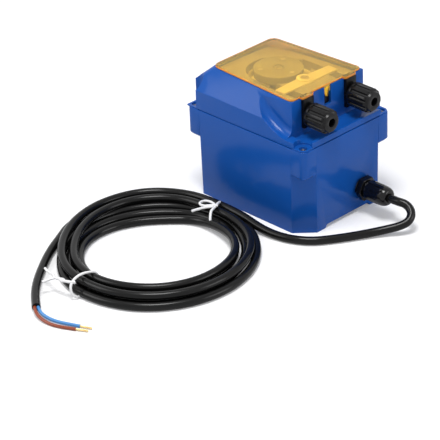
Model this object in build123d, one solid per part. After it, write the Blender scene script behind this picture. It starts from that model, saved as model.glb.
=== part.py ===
from build123d import *
import os
from math import acos, asin, atan, atan2, cos, degrees, pi, radians, sin, sqrt, tan

# Roller dosing pump lying on its wall side: window up, hose ports and cable gland at -Y.
# Sizes are millimetres. The pieces are drawn about the middle of the housing's footprint,
# and all are moved together at the end so that the origin is under the middle of the box.

# ---- driving sizes: housing ----
BODY_W = 96.0            # across the flanks, X
BODY_D = 124.0           # hose side to far side, Y
PARTING_Z = 72.0         # joint between the rear housing and the front cover
DRAFT = 0.6              # moulding draft of the rear housing's walls, degrees
WALL = 2.6
FLOOR = 3.0
CORNER_CUT = 13.6        # chamfer of the housing's corners below the ears
EAR_R = 5.3              # corner radius of the screw ears
EAR_H = 24.0
EAR_UNDERCUT = 2.5       # bevel under each ear
CHANNEL_W = 50.0         # wall bracket channel in the back
CHANNEL_T = 2.8
CHANNEL_STOP = 18.0      # material left at the closed end of the channel
FIX_R = 2.1              # blind fixing holes in the channel
FIX_DEPTH = 9.0
FIX_PITCH = 60.0
FIX_BOSS_R = 5.0
FIX_END_T = 2.0          # material past the end of a fixing hole
GASKET_T = 1.0
GASKET_W = 1.6
GASKET_GAP = 0.8         # gasket to the housing's wall
GASKET_CUT = 2.0         # gasket's corner cut past the housing's own

# ---- driving sizes: front cover ----
LEDGE_T = 2.6            # flange under the lid screws
LIP_H = 5.3              # height of the rim lip above the joint
LIP_T = 3.2
COVER_INSET = 0.5        # cover's sides inside the rear housing's
SHADOW_GAP_H = 0.7       # groove along the joint
SHADOW_GAP_IN = 0.8
SIDE_CREASE = 16.0       # height at which the flanks start to lean in
BACK_CREASE = 19.5
HEAD_H = 32.4            # pump head's top above the joint
LEDGE_DEPTH = 19.8       # step in front of the pump head
BACK_RUN = 14.4          # how far the back leans in at the top
HEAD_W_FRONT = 78.6
HEAD_W_BACK = 67.6
SHOULDER_TOP = 3.2       # end of the sweep beside the head, below its top
SHOULDER_BACK_Y = -3.0   # where that sweep meets the flank
HEAD_BACK_ROUND = 8.0    # rounding of the slanting edges behind the head
HEAD_BACK_BEVEL = 0.8
FLANK_KNEE = (14.4, 5.4) # points of the sweep: behind the head's front and above the rim lip
FLANK_RISE = (24.0, 12.0)
POCKET_R = 7.0           # clearance round each lid screw
POCKET_FLOOR_T = 1.2     # floor of that clearance above the joint
LID_BOSS_R = 4.2         # boss round each lid screw, let into the ear below
LID_BOSS_DROP = 4.2
LID_SEAT_DROP = 2.2      # screw head's seat below the joint
SWEEP_INSET = 0.15       # the sweep beside the head cuts this far into its front corners
SWEEP_ROUND = 6.0        # hollow rounding where that sweep meets the head's side
HEAD_WALL = 3.0
HEAD_RIM_WALL = 1.2      # thinner wall round the head's top
HEAD_RIM_DEPTH = 5.6
RIM_CORNER_FRONT = 2.5
RIM_CORNER_BACK = 5.0
TUB_FLOOR_T = 2.6
CHAMBER_DEPTH = 22.8     # head top to the tub floor
DECK_DROP = 3.4          # head top to the top of the insert
INSERT_FLOOR_T = 1.3
TUB_GAP = 0.25           # between the tub and its insert
SHAFT_GAP = 1.2          # round the shaft in the tub's floor
SHAFT_SEAL_R = 6.0
SHAFT_SEAL_T = 1.2
COVER_POST_WALL = 0.7    # cover's post past the heads of the gearbox screws

# ---- driving sizes: hose side ----
PORT_X = 23.2            # half of the port spacing, and the tube bend's radius
PORT_DROP = 13.4         # port axis below the head's top
SLOT_W = 10.9
NOTCH_W = 7.4            # latch notch
NOTCH_H = 15.0
NOTCH_DEPTH = 4.0
CATCH_DROP = 5.0         # latch catch below the head's top
PORT_FLANGE_OUT = 2.6    # port flange in front of the head's face
PORT_FLANGE_T = 7.4
PORT_FLANGE_DROP = 10.6
PORT_GROOVES = 4         # thread, drawn as plain grooves
PORT_GROOVE_PITCH = 3.0
PORT_GROOVE_W = 1.1
PORT_GROOVE_DEPTH = 0.5
PORT_GROOVE_START = 1.2
PORT_THREAD_R = 5.6
PORT_THREAD_L = 13.7
PORT_BARB_R = 2.75
PORT_BARB_L = 10.0
PORT_BARB_STEP = 0.45    # barb's shank inside its crest
PORT_BARB_TAPER = 0.6
PORT_BARB_TIP_L = 2.4
PORT_NOZZLE_R = 2.0
PORT_NOZZLE_L = 3.4
PORT_NOZZLE_TAPER = 0.3
PORT_BORE_R = 1.2
NUT_R = 9.6
NUT_NOSE_R = 7.2
NUT_NOSE_FLARE = 1.3
NUT_BEVEL = 0.9
NUT_BORE_GAP = 0.25
NUT_L = 20.0
NUT_NOSE_L = 3.0
NUT_GAP = 5.8            # nut to the head's face
NUT_HOLE_R = 3.4
NUT_RIBS = 12
NUT_FLUTE_R = 1.45
NUT_COLLAR_L = 2.2       # plain band at the nut's back
GRIP_L = 4.0
GRIP_R = 5.5
GRIP_TAPER = 0.9         # grip ring's bore opens by this towards the nozzle
GRIP_GAP = 0.2           # ring to the connector's end and to the nut's shoulder

# ---- driving sizes: roller head ----
TUBE_R = 4.0
TUBE_WALL = 1.6
TUBE_FLAT_HALF = 5.4     # half height of the tube where it is squeezed
SQUEEZE_EXTRA = 11.0     # squeezed length past the rotor's centre line
SQUEEZE_TAPER = 9.0
ROLLERS = 3
ROLLER_R = 7.0
ROLLER_H = 10.4
ROLLER_PIN_R = 2.0
CARRIER_R = 19.5
CARRIER_LOWER_T = 2.3
CARRIER_UPPER_T = 7.0
HUB_R = 5.6
CARRIER_EDGE_R = 0.9
ROLLER_EDGE_R = 0.6
HEAD_SCREW_R = 1.5
ROTOR_Y = 9.0            # rotor axis, towards the far side
RETAINER_GAP = 2.6       # retainer screw to the edge of the roller track
RETAINER_T = 1.4
RETAINER_D = 9.5
RETAINER_WAIST_W = 18.0
RETAINER_BOSS_R = 6.4
RETAINER_BOSS_H = 0.9
HEAD_SCREW_HEAD_R = 3.2
HEAD_SCREW_L = 11.0
HEAD_SCREW_HEAD_H = 0.8
SLOT_CUT_L = 4.6         # driver slot of the head screws
SLOT_CUT_W = 0.8
HEAD_SCREW_GAP = 0.4
RETAINER_BELLY = 1.1     # bulge of the retainer's plate round its boss
RETAINER_EDGE = 0.6
RETAINER_SIDE = 2.0      # plate past the tubes
ROTOR_SCREW_SINK = 1.6   # rotor screw's seat below the carrier's top
ROTOR_SCREW_SINK_R = 4.0
ROTOR_SCREW_HEAD_H = 1.3
ROTOR_SCREW_L = 7.0
ROTOR_SLOT_L = 5.0
ROTOR_SLOT_W = 0.9
RUN_GAP = 0.3            # gap between moving faces
FIT = 0.05               # radial clearance of a running fit
SNUG = 0.02              # radial clearance of a still fit

# ---- driving sizes: window ----
WINDOW_T = 1.8
WINDOW_MARGIN = 0.7
WINDOW_CORNER_FRONT = 4.0
WINDOW_CORNER_BACK = 6.5
WINDOW_HINGE_R = 0.88    # rounding of its far edge, which it turns about
WINDOW_RIB_T = 1.3
WINDOW_RIB_GAP = 0.35
WINDOW_RIB_H = 1.6
TAB_W = 12.6
TAB_OUT = 2.2
TAB_ROUND = 1.6
LATCH_T = 1.5
LATCH_H = 8.5
LATCH_TIP_W = 1.4

# ---- driving sizes: gear motor ----
MODULE = 0.75
PRESSURE_ANGLE = 20.0
DEDENDUM = 1.25          # in modules
PINION_TEETH = 12
WHEEL_TEETH = 48
TOOTH_BACKLASH = 0.16
GEAR_HUB_T = 1.6
GEAR_HUB_WALL = 3.0
WHEEL_HOLES = 6
WHEEL_HOLE_R = 3.4
WHEEL_HOLE_PLACE_R = 12.2
SHAFT_R = 3.0
MOTOR_SHAFT_R = 1.25
GEAR_PIN_R = 1.5
GEARBOX_DROP = 0.8       # gearbox below the joint of the housing
GEARBOX_GAP = 1.0        # gears to the gearbox walls
GEARBOX_ROUND = 6.0
GEARBOX_POST_INSET = 5.0 # screw places inside the outline
GEARBOX_H = 21.0
GEARBOX_WALL = 2.4
GEARBOX_SPLIT = 6.0      # height of the gearbox lid
GEARBOX_POST_WALL = 0.6
GEARBOX_SCREW_GAP = 0.2
GEARBOX_FIRST_GAP = 1.2  # floor to the lower gear
GEAR_LAYER_GAP = 0.8     # lower wheel to the upper one
BOSS_WALL = 2.0
BUSH_FLOOR_T = 0.4       # gearbox floor left under the lower bush
BUSH_BOSS_H = 1.0
PIN_FLOOR_T = 0.8        # gearbox floor left under the idler's pin
PIN_BOSS_H = 0.9
PIN_LID_BOSS_H = 1.4
PIN_LID_DEPTH = 1.2
MOTOR_OFFSET = 33.0      # motor axis to rotor axis
MOTOR_R = 25.0
MOTOR_H = 24.0
MOTOR_WALL = 1.2
MOTOR_EDGE_R = 1.6
MOTOR_BEARING_WALL = 2.4
MOTOR_BEARING_IN = 1.2   # bearing's reach into the can and out of it
MOTOR_BEARING_OUT = 2.2
MOTOR_FOOT_BEARING_H = 3.4
MAGNET_LOW = 4.2         # magnet above the can's bottom
MAGNET_HIGH = 3.2        # and below its top
PINION_MARGIN = 0.4      # motor pinion's overlap of the idler wheel at each end
MAGNET_R = 11.5
COIL_R = 22.0
COIL_INNER_R = 13.5
WHEEL_T = 4.6
PINION_T = 6.0
BUSH_R = 5.0
SCREW_R = 1.5            # M3 thread
SCREW_HEAD_R = 2.8
SCREW_HEAD_H = 2.0
SCREW_GRIP = 3.4         # thread in the post
LID_SCREW_R = 2.0        # M4 thread
LID_SCREW_HEAD_R = 2.9
LID_SCREW_HEAD_H = 2.0
LID_SCREW_L = 15.0
LID_SCREW_GAP = 0.3      # round the head and the shank

# ---- driving sizes: cable and gland ----
CABLE_R = 3.3
GLAND_X = 16.5
GLAND_Z = 19.3
GLAND_OUT = 28.0         # gland's reach in front of the housing
GLAND_HEX = 17.0         # across flats
GLAND_HEX_T = 5.2
GLAND_THREAD_R = 6.0
GLAND_NECK_R = 6.4
GLAND_NECK_L = 11.0
GLAND_CAP_R = 8.4
GLAND_CAP_GAP = 0.8
GLAND_CAP_FACETS = 10
GLAND_CAP_FLAT = 0.45    # facets inside the cap's radius
GLAND_DOME_L = 5.0
GLAND_DOME_R = 7.7
GLAND_FACE_R = 5.2
GLAND_CAP_END_L = 4.2    # solid end of the cap in front of the clamp ring
GLAND_CAP_OVERLAP = 1.4
GLAND_INSIDE_L = 9.0
GLAND_SEAL_R = 4.9
GLAND_SEAL_DEPTH = 7.0
CLAMP_RING_T = 1.0
CABLE_HOLE_GAP = 0.35    # cable to the cap
CABLE_BODY_GAP = 0.5     # cable to the gland's body
CABLE_SEAL_GAP = 0.2     # cable to its seal
WALL_SPACING = 0.25      # wall's inside to the locknut
LOCKNUT_HEX = 17.0
LOCKNUT_T = 4.0
SEAL_RING_T = 1.2
SEAL_RING_W = 1.6
SHEATH_IN = 18.0         # cable sheath inside the wall
TERMINAL_W = 18.0
TERMINAL_D = 15.0
TERMINAL_H = 14.0
TERMINAL_BACK = 20.3     # terminal block to the far wall
TERMINAL_PITCH = 9.0
TERMINAL_ENTRY = 5.0     # height of the wire entries above the block's foot
TERMINAL_HOLE_GAP = 0.45
TERMINAL_SCREW_SINK = 1.5
TERMINAL_SCREW_LIFT = 1.8
CORE_R = 1.25
CORE_BENDS = (9, 9, 6)   # inside the housing
LEAD_R = 0.9             # motor leads
LEAD_BENDS = (4, 4, 3)
LEAD_RISE = 8.0          # above the motor's bottom
LEAD_APART = 2.2         # from the motor's middle plane
LEAD_REACH = 9.5         # straight part in front of the motor
STRAND_R = 0.62
STRAND_L = 10.0

# ---- sizes worked out from the driving ones ----
HALF_W = BODY_W / 2
HALF_D = BODY_D / 2
BASE_HALF_W = HALF_W - PARTING_Z * tan(radians(DRAFT))
BASE_HALF_D = HALF_D - PARTING_Z * tan(radians(DRAFT))
SCREW_X = HALF_W - EAR_R
SCREW_Y = HALF_D - EAR_R
HEAD_TOP = PARTING_Z + HEAD_H
HEAD_FRONT = -HALF_D + LEDGE_DEPTH
HEAD_BACK = HALF_D - BACK_RUN
TUB_Z = HEAD_TOP - CHAMBER_DEPTH
TUB_UNDER = TUB_Z - TUB_FLOOR_T
PORT_Z = HEAD_TOP - PORT_DROP
TRACK_R = PORT_X + TUBE_WALL + 0.2
REACH_R = PORT_X - TUBE_WALL - 0.2
PIN_CIRCLE_R = REACH_R - ROLLER_R
CHAMBER_Z = TUB_Z + INSERT_FLOOR_T
DECK_Z = HEAD_TOP - DECK_DROP
HEAD_RIM_Z = HEAD_TOP - HEAD_RIM_DEPTH
CARRIER_Z = PORT_Z - ROLLER_H / 2 - RUN_GAP - CARRIER_LOWER_T
ROLLER_Z = CARRIER_Z + CARRIER_LOWER_T + RUN_GAP
CARRIER_TOP_Z = ROLLER_Z + ROLLER_H + RUN_GAP
CARRIER_END_Z = CARRIER_TOP_Z + CARRIER_UPPER_T
WINDOW_TOP = HEAD_TOP + WINDOW_T
WINDOW_BACK = HEAD_BACK - WINDOW_MARGIN
NUT_BACK = HEAD_FRONT - NUT_GAP
NUT_FACE = NUT_BACK - NUT_L
PORT_FLANGE_FACE = HEAD_FRONT - PORT_FLANGE_OUT
PORT_THREAD_END = PORT_FLANGE_FACE - PORT_THREAD_L
PORT_INNER_FACE = PORT_FLANGE_FACE + PORT_FLANGE_T
TUBE_FLAT_Y = ROTOR_Y - SQUEEZE_EXTRA
TUBE_ROUND_Y = TUBE_FLAT_Y - SQUEEZE_TAPER
PORT_NOZZLE_END = PORT_THREAD_END - PORT_NOZZLE_L
LID_SEAT_Z = PARTING_Z - LID_SEAT_DROP
GEARBOX_TOP = PARTING_Z - GEARBOX_DROP
GEARBOX_BOTTOM = GEARBOX_TOP - GEARBOX_H
PINION_PITCH_R = MODULE * PINION_TEETH / 2
WHEEL_PITCH_R = MODULE * WHEEL_TEETH / 2
GEAR_SPACING = PINION_PITCH_R + WHEEL_PITCH_R
MOTOR_Y = ROTOR_Y - MOTOR_OFFSET
IDLER_Y = ROTOR_Y - MOTOR_OFFSET / 2
IDLER_X = -sqrt(GEAR_SPACING ** 2 - (MOTOR_OFFSET / 2) ** 2)
GEARBOX_EDGE = MODULE + GEARBOX_GAP + GEARBOX_WALL
GEARBOX_LOW_X = IDLER_X - WHEEL_PITCH_R - GEARBOX_EDGE
GEARBOX_HIGH_X = MOTOR_R + 2 * SCREW_HEAD_R + 1.6
GEARBOX_LOW_Y = MOTOR_Y - PINION_PITCH_R - GEARBOX_EDGE
GEARBOX_HIGH_Y = ROTOR_Y + WHEEL_PITCH_R + GEARBOX_EDGE
LOWER_GEAR_Z = GEARBOX_BOTTOM + GEARBOX_WALL + GEARBOX_FIRST_GAP
UPPER_GEAR_Z = LOWER_GEAR_Z + WHEEL_T + GEAR_LAYER_GAP
MOTOR_BOTTOM = GEARBOX_BOTTOM - MOTOR_H
FRONT_WALL_Y = -HALF_D + (PARTING_Z - GLAND_Z) * tan(radians(DRAFT))
GLAND_END = -HALF_D - GLAND_OUT + 1.0
GLAND_SEAT_Y = FRONT_WALL_Y + RUN_GAP
GLAND_SEAT_R = GLAND_HEX / 2 / cos(pi / 6) + RUN_GAP
GLAND_HEX_FACE = GLAND_SEAT_Y - SEAL_RING_T - GLAND_HEX_T
GLAND_NECK_END = GLAND_HEX_FACE - GLAND_NECK_L
ORIGIN_SHIFT = (-GLAND_END - HALF_D) / 2

NODES = {}


def keep(name, *pieces):
    """Store one piece, or a group of like pieces, under its node's name."""
    NODES[name] = list(pieces)


def cut(name, tool):
    """Take a tool's shape out of every piece of a node."""
    NODES[name] = [piece - tool for piece in NODES[name]]


def at(x, y, z):
    """Place something at a point."""
    return Pos(x, y, z)


def rod(radius, z_low, z_high, x=0.0, y=0.0):
    """Upright cylinder between two heights."""
    return at(x, y, (z_low + z_high) / 2) * Cylinder(radius, z_high - z_low)


def pipe(outer, inner, z_low, z_high, x=0.0, y=0.0):
    """Upright tube between two heights."""
    return rod(outer, z_low, z_high, x, y) - rod(inner, z_low - 1, z_high + 1, x, y)


def front_rod(radius, y_low, y_high, x, z):
    """Cylinder along Y between two places."""
    return at(x, (y_low + y_high) / 2, z) * Rot(90, 0, 0) * Cylinder(radius, y_high - y_low)


def front_cone(r_low, r_high, y_low, y_high, x, z):
    """Cone along Y: radius r_low at y_low and r_high at y_high."""
    cone = Cone(r_high, r_low, y_high - y_low)
    return at(x, (y_low + y_high) / 2, z) * Rot(90, 0, 0) * cone


def block(x_low, x_high, y_low, y_high, z_low, z_high):
    """Box between two corners."""
    box = Box(x_high - x_low, y_high - y_low, z_high - z_low)
    return at((x_low + x_high) / 2, (y_low + y_high) / 2, (z_low + z_high) / 2) * box


def side_prism(face, x_low, x_high):
    """Prism along X from a face drawn in the YZ plane."""
    return at(x_low, 0, 0) * extrude(face, x_high - x_low, dir=(1, 0, 0))


def hex_bar(across_flats, y_low, y_high, x, z, sides=6):
    """Prism with flats along Y."""
    radius = across_flats / 2 / cos(pi / sides)
    prism = extrude(RegularPolygon(radius, sides), y_high - y_low)
    return at(x, y_high, z) * Rot(90, 0, 0) * prism


def corners():
    """The four lid screw places."""
    return [(sx * SCREW_X, sy * SCREW_Y) for sx in (-1, 1) for sy in (-1, 1)]


def cut_outline(half_w, half_d, cut):
    """Rectangle with its corners cut at 45 degrees."""
    points = [(half_w, -half_d + cut), (half_w, half_d - cut), (half_w - cut, half_d),
              (-half_w + cut, half_d), (-half_w, half_d - cut), (-half_w, -half_d + cut),
              (-half_w + cut, -half_d), (half_w - cut, -half_d)]
    return Polygon(*points, align=None)


def drafted(half_w, half_d, cut, z_low, z_high):
    """Cut-cornered prism that widens upwards with the housing's draft."""
    grow = tan(radians(DRAFT))
    low = Plane.XY.offset(z_low) * cut_outline(half_w + z_low * grow, half_d + z_low * grow, cut)
    high = Plane.XY.offset(z_high) * cut_outline(half_w + z_high * grow, half_d + z_high * grow, cut)
    return loft([low.face(), high.face()], ruled=True)


# ---- housing ----
def rear_housing():
    """Deep box with four screw ears, a gland hole and a bracket channel in its back."""
    shell = drafted(BASE_HALF_W, BASE_HALF_D, CORNER_CUT, 0, PARTING_Z)
    ears = extrude(Plane.XY.offset(PARTING_Z - EAR_H) * RectangleRounded(BODY_W, BODY_D, EAR_R), EAR_H)
    ears = chamfer(ears.faces().sort_by(Axis.Z)[0].edges(), EAR_UNDERCUT)
    for x_sign in (-1, 1):
        for y_sign in (-1, 1):
            zone_x = sorted((x_sign * (HALF_W - CORNER_CUT), x_sign * (HALF_W + 1)))
            zone_y = sorted((y_sign * (HALF_D - CORNER_CUT), y_sign * (HALF_D + 1)))
            shell += ears & block(*zone_x, *zone_y, 0, PARTING_Z)
    room = drafted(BASE_HALF_W - WALL, BASE_HALF_D - WALL, CORNER_CUT, FLOOR, PARTING_Z)
    shell -= room
    shell -= block(-BODY_W, BODY_W, -BODY_D, BODY_D, PARTING_Z, PARTING_Z + 1)
    seat_low = FLOOR + CHANNEL_T
    channel_z = block(-CHANNEL_W / 2 - 2, CHANNEL_W / 2 + 2, -BASE_HALF_D + WALL / 2,
                      BASE_HALF_D - CHANNEL_STOP + 2, FLOOR - 1, seat_low)
    shell += channel_z & drafted(BASE_HALF_W - 1, BASE_HALF_D - 1, CORNER_CUT, 0, seat_low)
    mouth = Polygon((-CHANNEL_W / 2, -1), (CHANNEL_W / 2, -1), (CHANNEL_W / 2, 0),
                    (CHANNEL_W / 2 - 2, CHANNEL_T), (-CHANNEL_W / 2 + 2, CHANNEL_T),
                    (-CHANNEL_W / 2, 0), align=None)
    length = BODY_D / 2 + BASE_HALF_D - CHANNEL_STOP
    shell -= at(0, BASE_HALF_D - CHANNEL_STOP, 0) * Rot(90, 0, 0) * extrude(mouth, length)
    for sign in (-1, 1):
        y = sign * FIX_PITCH / 2
        shell += rod(FIX_BOSS_R, FLOOR, CHANNEL_T + FIX_DEPTH + FIX_END_T, 0, y)
        shell -= rod(FIX_R, -1, CHANNEL_T + FIX_DEPTH, 0, y)
    for x, y in corners():
        shell -= rod(LID_BOSS_R + 2 * FIT, PARTING_Z - LID_BOSS_DROP - 2 * FIT, PARTING_Z + 1, x, y)
        shell -= rod(LID_SCREW_R + SNUG, LID_SEAT_Z - LID_SCREW_L - 1, PARTING_Z, x, y)
    shell -= front_rod(GLAND_THREAD_R + FIT, -BODY_D, -HALF_D + 3 * WALL, GLAND_X, GLAND_Z)
    shell -= front_rod(GLAND_SEAT_R, -BODY_D, GLAND_SEAT_Y, GLAND_X, GLAND_Z)
    keep("rear_housing", shell)


def head_outline(offset=0.0, reach=0.0):
    """Trapezoid of the pump head's top; offset moves its sides in, reach moves the back out."""
    slope = (HEAD_W_FRONT - HEAD_W_BACK) / 2 / (HEAD_BACK - HEAD_FRONT)
    back = HEAD_BACK - offset + reach
    front = HEAD_FRONT + offset
    half_front = HEAD_W_FRONT / 2 - offset - slope * offset
    half_back = half_front - slope * (back - front)
    return Polygon((half_front, front), (half_back, back), (-half_back, back), (-half_front, front),
                   align=None)


def rounded_head(offset, front_round, back_round):
    """Head outline moved in by offset, with its front and back corners rounded."""
    face = head_outline(offset)
    face = fillet(face.vertices().sort_by(Axis.Y)[:2], front_round)
    return fillet(face.vertices().sort_by(Axis.Y)[-2:], back_round)


def head_rim(offset):
    """Outline that follows the thin wall round the head's top, offset from the head's outside."""
    inset = offset - HEAD_RIM_WALL
    return rounded_head(offset, RIM_CORNER_FRONT - inset, RIM_CORNER_BACK - inset)


def flank_profile():
    """Profile in the YZ plane of the sweep that frees the head's sides from the flanks."""
    lip = PARTING_Z + LIP_H
    top = HEAD_TOP - SHOULDER_TOP
    knee = (HEAD_FRONT + FLANK_KNEE[0], lip + FLANK_KNEE[1])
    shoulder = (HEAD_FRONT + FLANK_RISE[0], lip + FLANK_RISE[1])
    rise = Spline((HEAD_FRONT - 3, lip), knee, shoulder, (SHOULDER_BACK_Y, top),
                  tangents=[(1, 0.05), (1, 0.42)])
    edge = rise + Polyline((SHOULDER_BACK_Y, top), (SHOULDER_BACK_Y + 9, HEAD_TOP + 6),
                           (-BODY_D, HEAD_TOP + 6), (-BODY_D, lip), (HEAD_FRONT - 3, lip))
    return make_face(edge)


def flank_prism(side, inset):
    """Prism of one side's sweep, from inset inside the head's front corner outwards."""
    wall_x = HEAD_W_FRONT / 2 - inset
    sweep_face = Plane.YZ * flank_profile()
    if side > 0:
        return side_prism(sweep_face, wall_x, BODY_W)
    return side_prism(sweep_face, -BODY_W, -wall_x)


def flank_sweep(side):
    """Cutter for one side's sweep, rounded where it meets the head's side wall."""
    wall_x = HEAD_W_FRONT / 2 - SWEEP_INSET
    cutter = flank_prism(side, SWEEP_INSET)
    valley = [edge for edge in cutter.edges().filter_by(GeomType.BSPLINE)
              if abs(edge.center().X - side * wall_x) < SWEEP_INSET]
    return fillet(valley, SWEEP_ROUND)


def cover_outline(inset):
    """Rounded outline of the cover's rim, inside the rear housing's."""
    return RectangleRounded(BODY_W - 2 * inset, BODY_D - 2 * inset, EAR_R - inset)


def shadow_gap():
    """Groove along the joint between the ears."""
    groove = extrude(Plane.XY.offset(PARTING_Z) * Rectangle(BODY_W, BODY_D), SHADOW_GAP_H)
    groove -= extrude(Plane.XY.offset(PARTING_Z) * cover_outline(COVER_INSET + SHADOW_GAP_IN), SHADOW_GAP_H)
    for x, y in corners():
        groove -= rod(POCKET_R + 1, PARTING_Z - 1, PARTING_Z + 1, x, y)
    return groove


def front_cover():
    """Moulded lid with the pump head's tub, ledge, port slots and screw pockets."""
    lip = PARTING_Z + LIP_H
    side = PARTING_Z + SIDE_CREASE
    inset = COVER_INSET
    rim = extrude(Plane.XY.offset(PARTING_Z) * cover_outline(inset), LIP_H)
    lower = extrude(Plane.XY.offset(PARTING_Z) * Rectangle(BODY_W - 2 * inset, BODY_D - 2 * inset),
                    SIDE_CREASE)
    reach = HALF_D - HEAD_BACK
    low_face = Plane.XY.offset(side) * Rectangle(BODY_W - 2 * inset, BODY_D, align=Align.CENTER)
    low_face = low_face.face() & block(-BODY_W, BODY_W, HEAD_FRONT, HALF_D, side - 1, side + 1)
    top_face = Plane.XY.offset(HEAD_TOP) * head_outline(0, reach)
    upper = loft([low_face.face(), top_face.face()], ruled=True)
    profile = Polygon((HEAD_FRONT, PARTING_Z), (HEAD_FRONT, HEAD_TOP + 1),
                      (HEAD_BACK - HEAD_BACK_BEVEL, HEAD_TOP + 1), (HEAD_BACK, HEAD_TOP),
                      (HALF_D - inset, PARTING_Z + BACK_CREASE),
                      (HALF_D - inset, PARTING_Z), align=None)
    envelope = side_prism(Plane.YZ * profile, -BODY_W, BODY_W)
    head = (lower + upper) & envelope
    slants = [edge for edge in head.edges() if edge.center().Y > HEAD_BACK and edge.center().Z > side
              and edge.bounding_box().size.Z > (HEAD_H - BACK_CREASE) / 2]
    head = fillet(slants, HEAD_BACK_ROUND)
    for side_sign in (-1, 1):
        head -= flank_sweep(side_sign)
    cover = rim + head
    # ledge in front of the head, inside the lip
    ledge_half = SCREW_X - POCKET_R / 2
    cover -= block(-ledge_half, ledge_half, -HALF_D + LIP_T, HEAD_FRONT, PARTING_Z + LEDGE_T, lip + 1)
    for x, y in corners():
        cover -= rod(POCKET_R, PARTING_Z + POCKET_FLOOR_T, HEAD_TOP + 9, x, y)
    # hollow underneath, up to the tub
    hollow = extrude(Plane.XY.offset(PARTING_Z - 1) * cut_outline(
        HALF_W - WALL - inset, HALF_D - WALL - inset, CORNER_CUT + 3), TUB_UNDER - PARTING_Z + 1)
    hollow &= block(-BODY_W, BODY_W, HEAD_FRONT + HEAD_WALL, HALF_D, PARTING_Z - 1, TUB_UNDER)
    for side_sign in (-1, 1):
        hollow -= at(0, 0, -WALL) * flank_prism(side_sign, SWEEP_INSET + WALL)
    cover -= hollow
    cover -= shadow_gap()
    for x, y in corners():
        cover += rod(LID_BOSS_R, PARTING_Z - LID_BOSS_DROP, PARTING_Z + POCKET_FLOOR_T, x, y)
        cover -= rod(LID_SCREW_HEAD_R + LID_SCREW_GAP, LID_SEAT_Z, HEAD_TOP, x, y)
        cover -= rod(LID_SCREW_R + LID_SCREW_GAP, PARTING_Z - LID_BOSS_DROP - 1, LID_SEAT_Z, x, y)
    # tub
    cover -= extrude(Plane.XY.offset(TUB_Z) * head_outline(HEAD_WALL), HEAD_TOP - TUB_Z + 1)
    cover -= extrude(Plane.XY.offset(HEAD_RIM_Z) * head_rim(HEAD_RIM_WALL), HEAD_RIM_DEPTH + 1)
    cover -= rod(SHAFT_R + SHAFT_GAP, TUB_UNDER - 1, TUB_Z + 1, 0, ROTOR_Y)
    cover -= rod(SHAFT_SEAL_R, TUB_Z - SHAFT_SEAL_T, TUB_Z + 1, 0, ROTOR_Y)
    slot_floor = PORT_Z - PORT_FLANGE_DROP
    for sign in (-1, 1):
        x = sign * PORT_X
        cover -= block(x - SLOT_W / 2, x + SLOT_W / 2, HEAD_FRONT - 1, PORT_INNER_FACE + 2 * FIT,
                       slot_floor, HEAD_TOP + 1)
    cover -= block(-NOTCH_W / 2, NOTCH_W / 2, HEAD_FRONT - 1, HEAD_FRONT + HEAD_WALL + 1,
                   HEAD_TOP - NOTCH_H, HEAD_TOP + 1)
    # posts for the gear motor
    for x, y in gearbox_posts():
        cover += rod(SCREW_HEAD_R + COVER_POST_WALL, GEARBOX_TOP, TUB_UNDER + TUB_FLOOR_T / 2, x, y)
        cover -= rod(SCREW_R + SNUG, GEARBOX_TOP - 1, GEARBOX_TOP + SCREW_GRIP + 1, x, y)
    keep("front_cover", cover)


def gasket_outline(inset):
    """Outline inside the housing's wall, moved in by inset."""
    gap = WALL + GASKET_GAP + inset
    return cut_outline(HALF_W - gap, HALF_D - gap, CORNER_CUT + GASKET_CUT)


def cover_gasket():
    """Flat seal between the housing's mouth and the front cover, and its seat."""
    ring = gasket_outline(0) - gasket_outline(GASKET_W)
    keep("cover_gasket", extrude(Plane.XY.offset(PARTING_Z - GASKET_T) * ring, GASKET_T))
    cut("rear_housing", extrude(Plane.XY.offset(PARTING_Z - GASKET_T) * gasket_outline(0), GASKET_T + 1))


def lid_screws():
    """Four pan head screws with cross slots, sunk in their pockets."""
    group = []
    seat = LID_SEAT_Z
    for x, y in corners():
        screw = rod(LID_SCREW_HEAD_R, seat, seat + LID_SCREW_HEAD_H, x, y)
        screw = fillet(screw.faces().sort_by(Axis.Z)[-1].edges(), LID_SCREW_HEAD_H * 0.4)
        screw += rod(LID_SCREW_R, seat - LID_SCREW_L, seat, x, y)
        for turn in (45, 135):
            arm = at(x, y, seat + LID_SCREW_HEAD_H) * Rot(0, 0, turn) * Box(1.3 * LID_SCREW_HEAD_R, 0.8, 2.2)
            screw -= arm
        group.append(screw)
    keep("lid_screws", *group)


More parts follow.
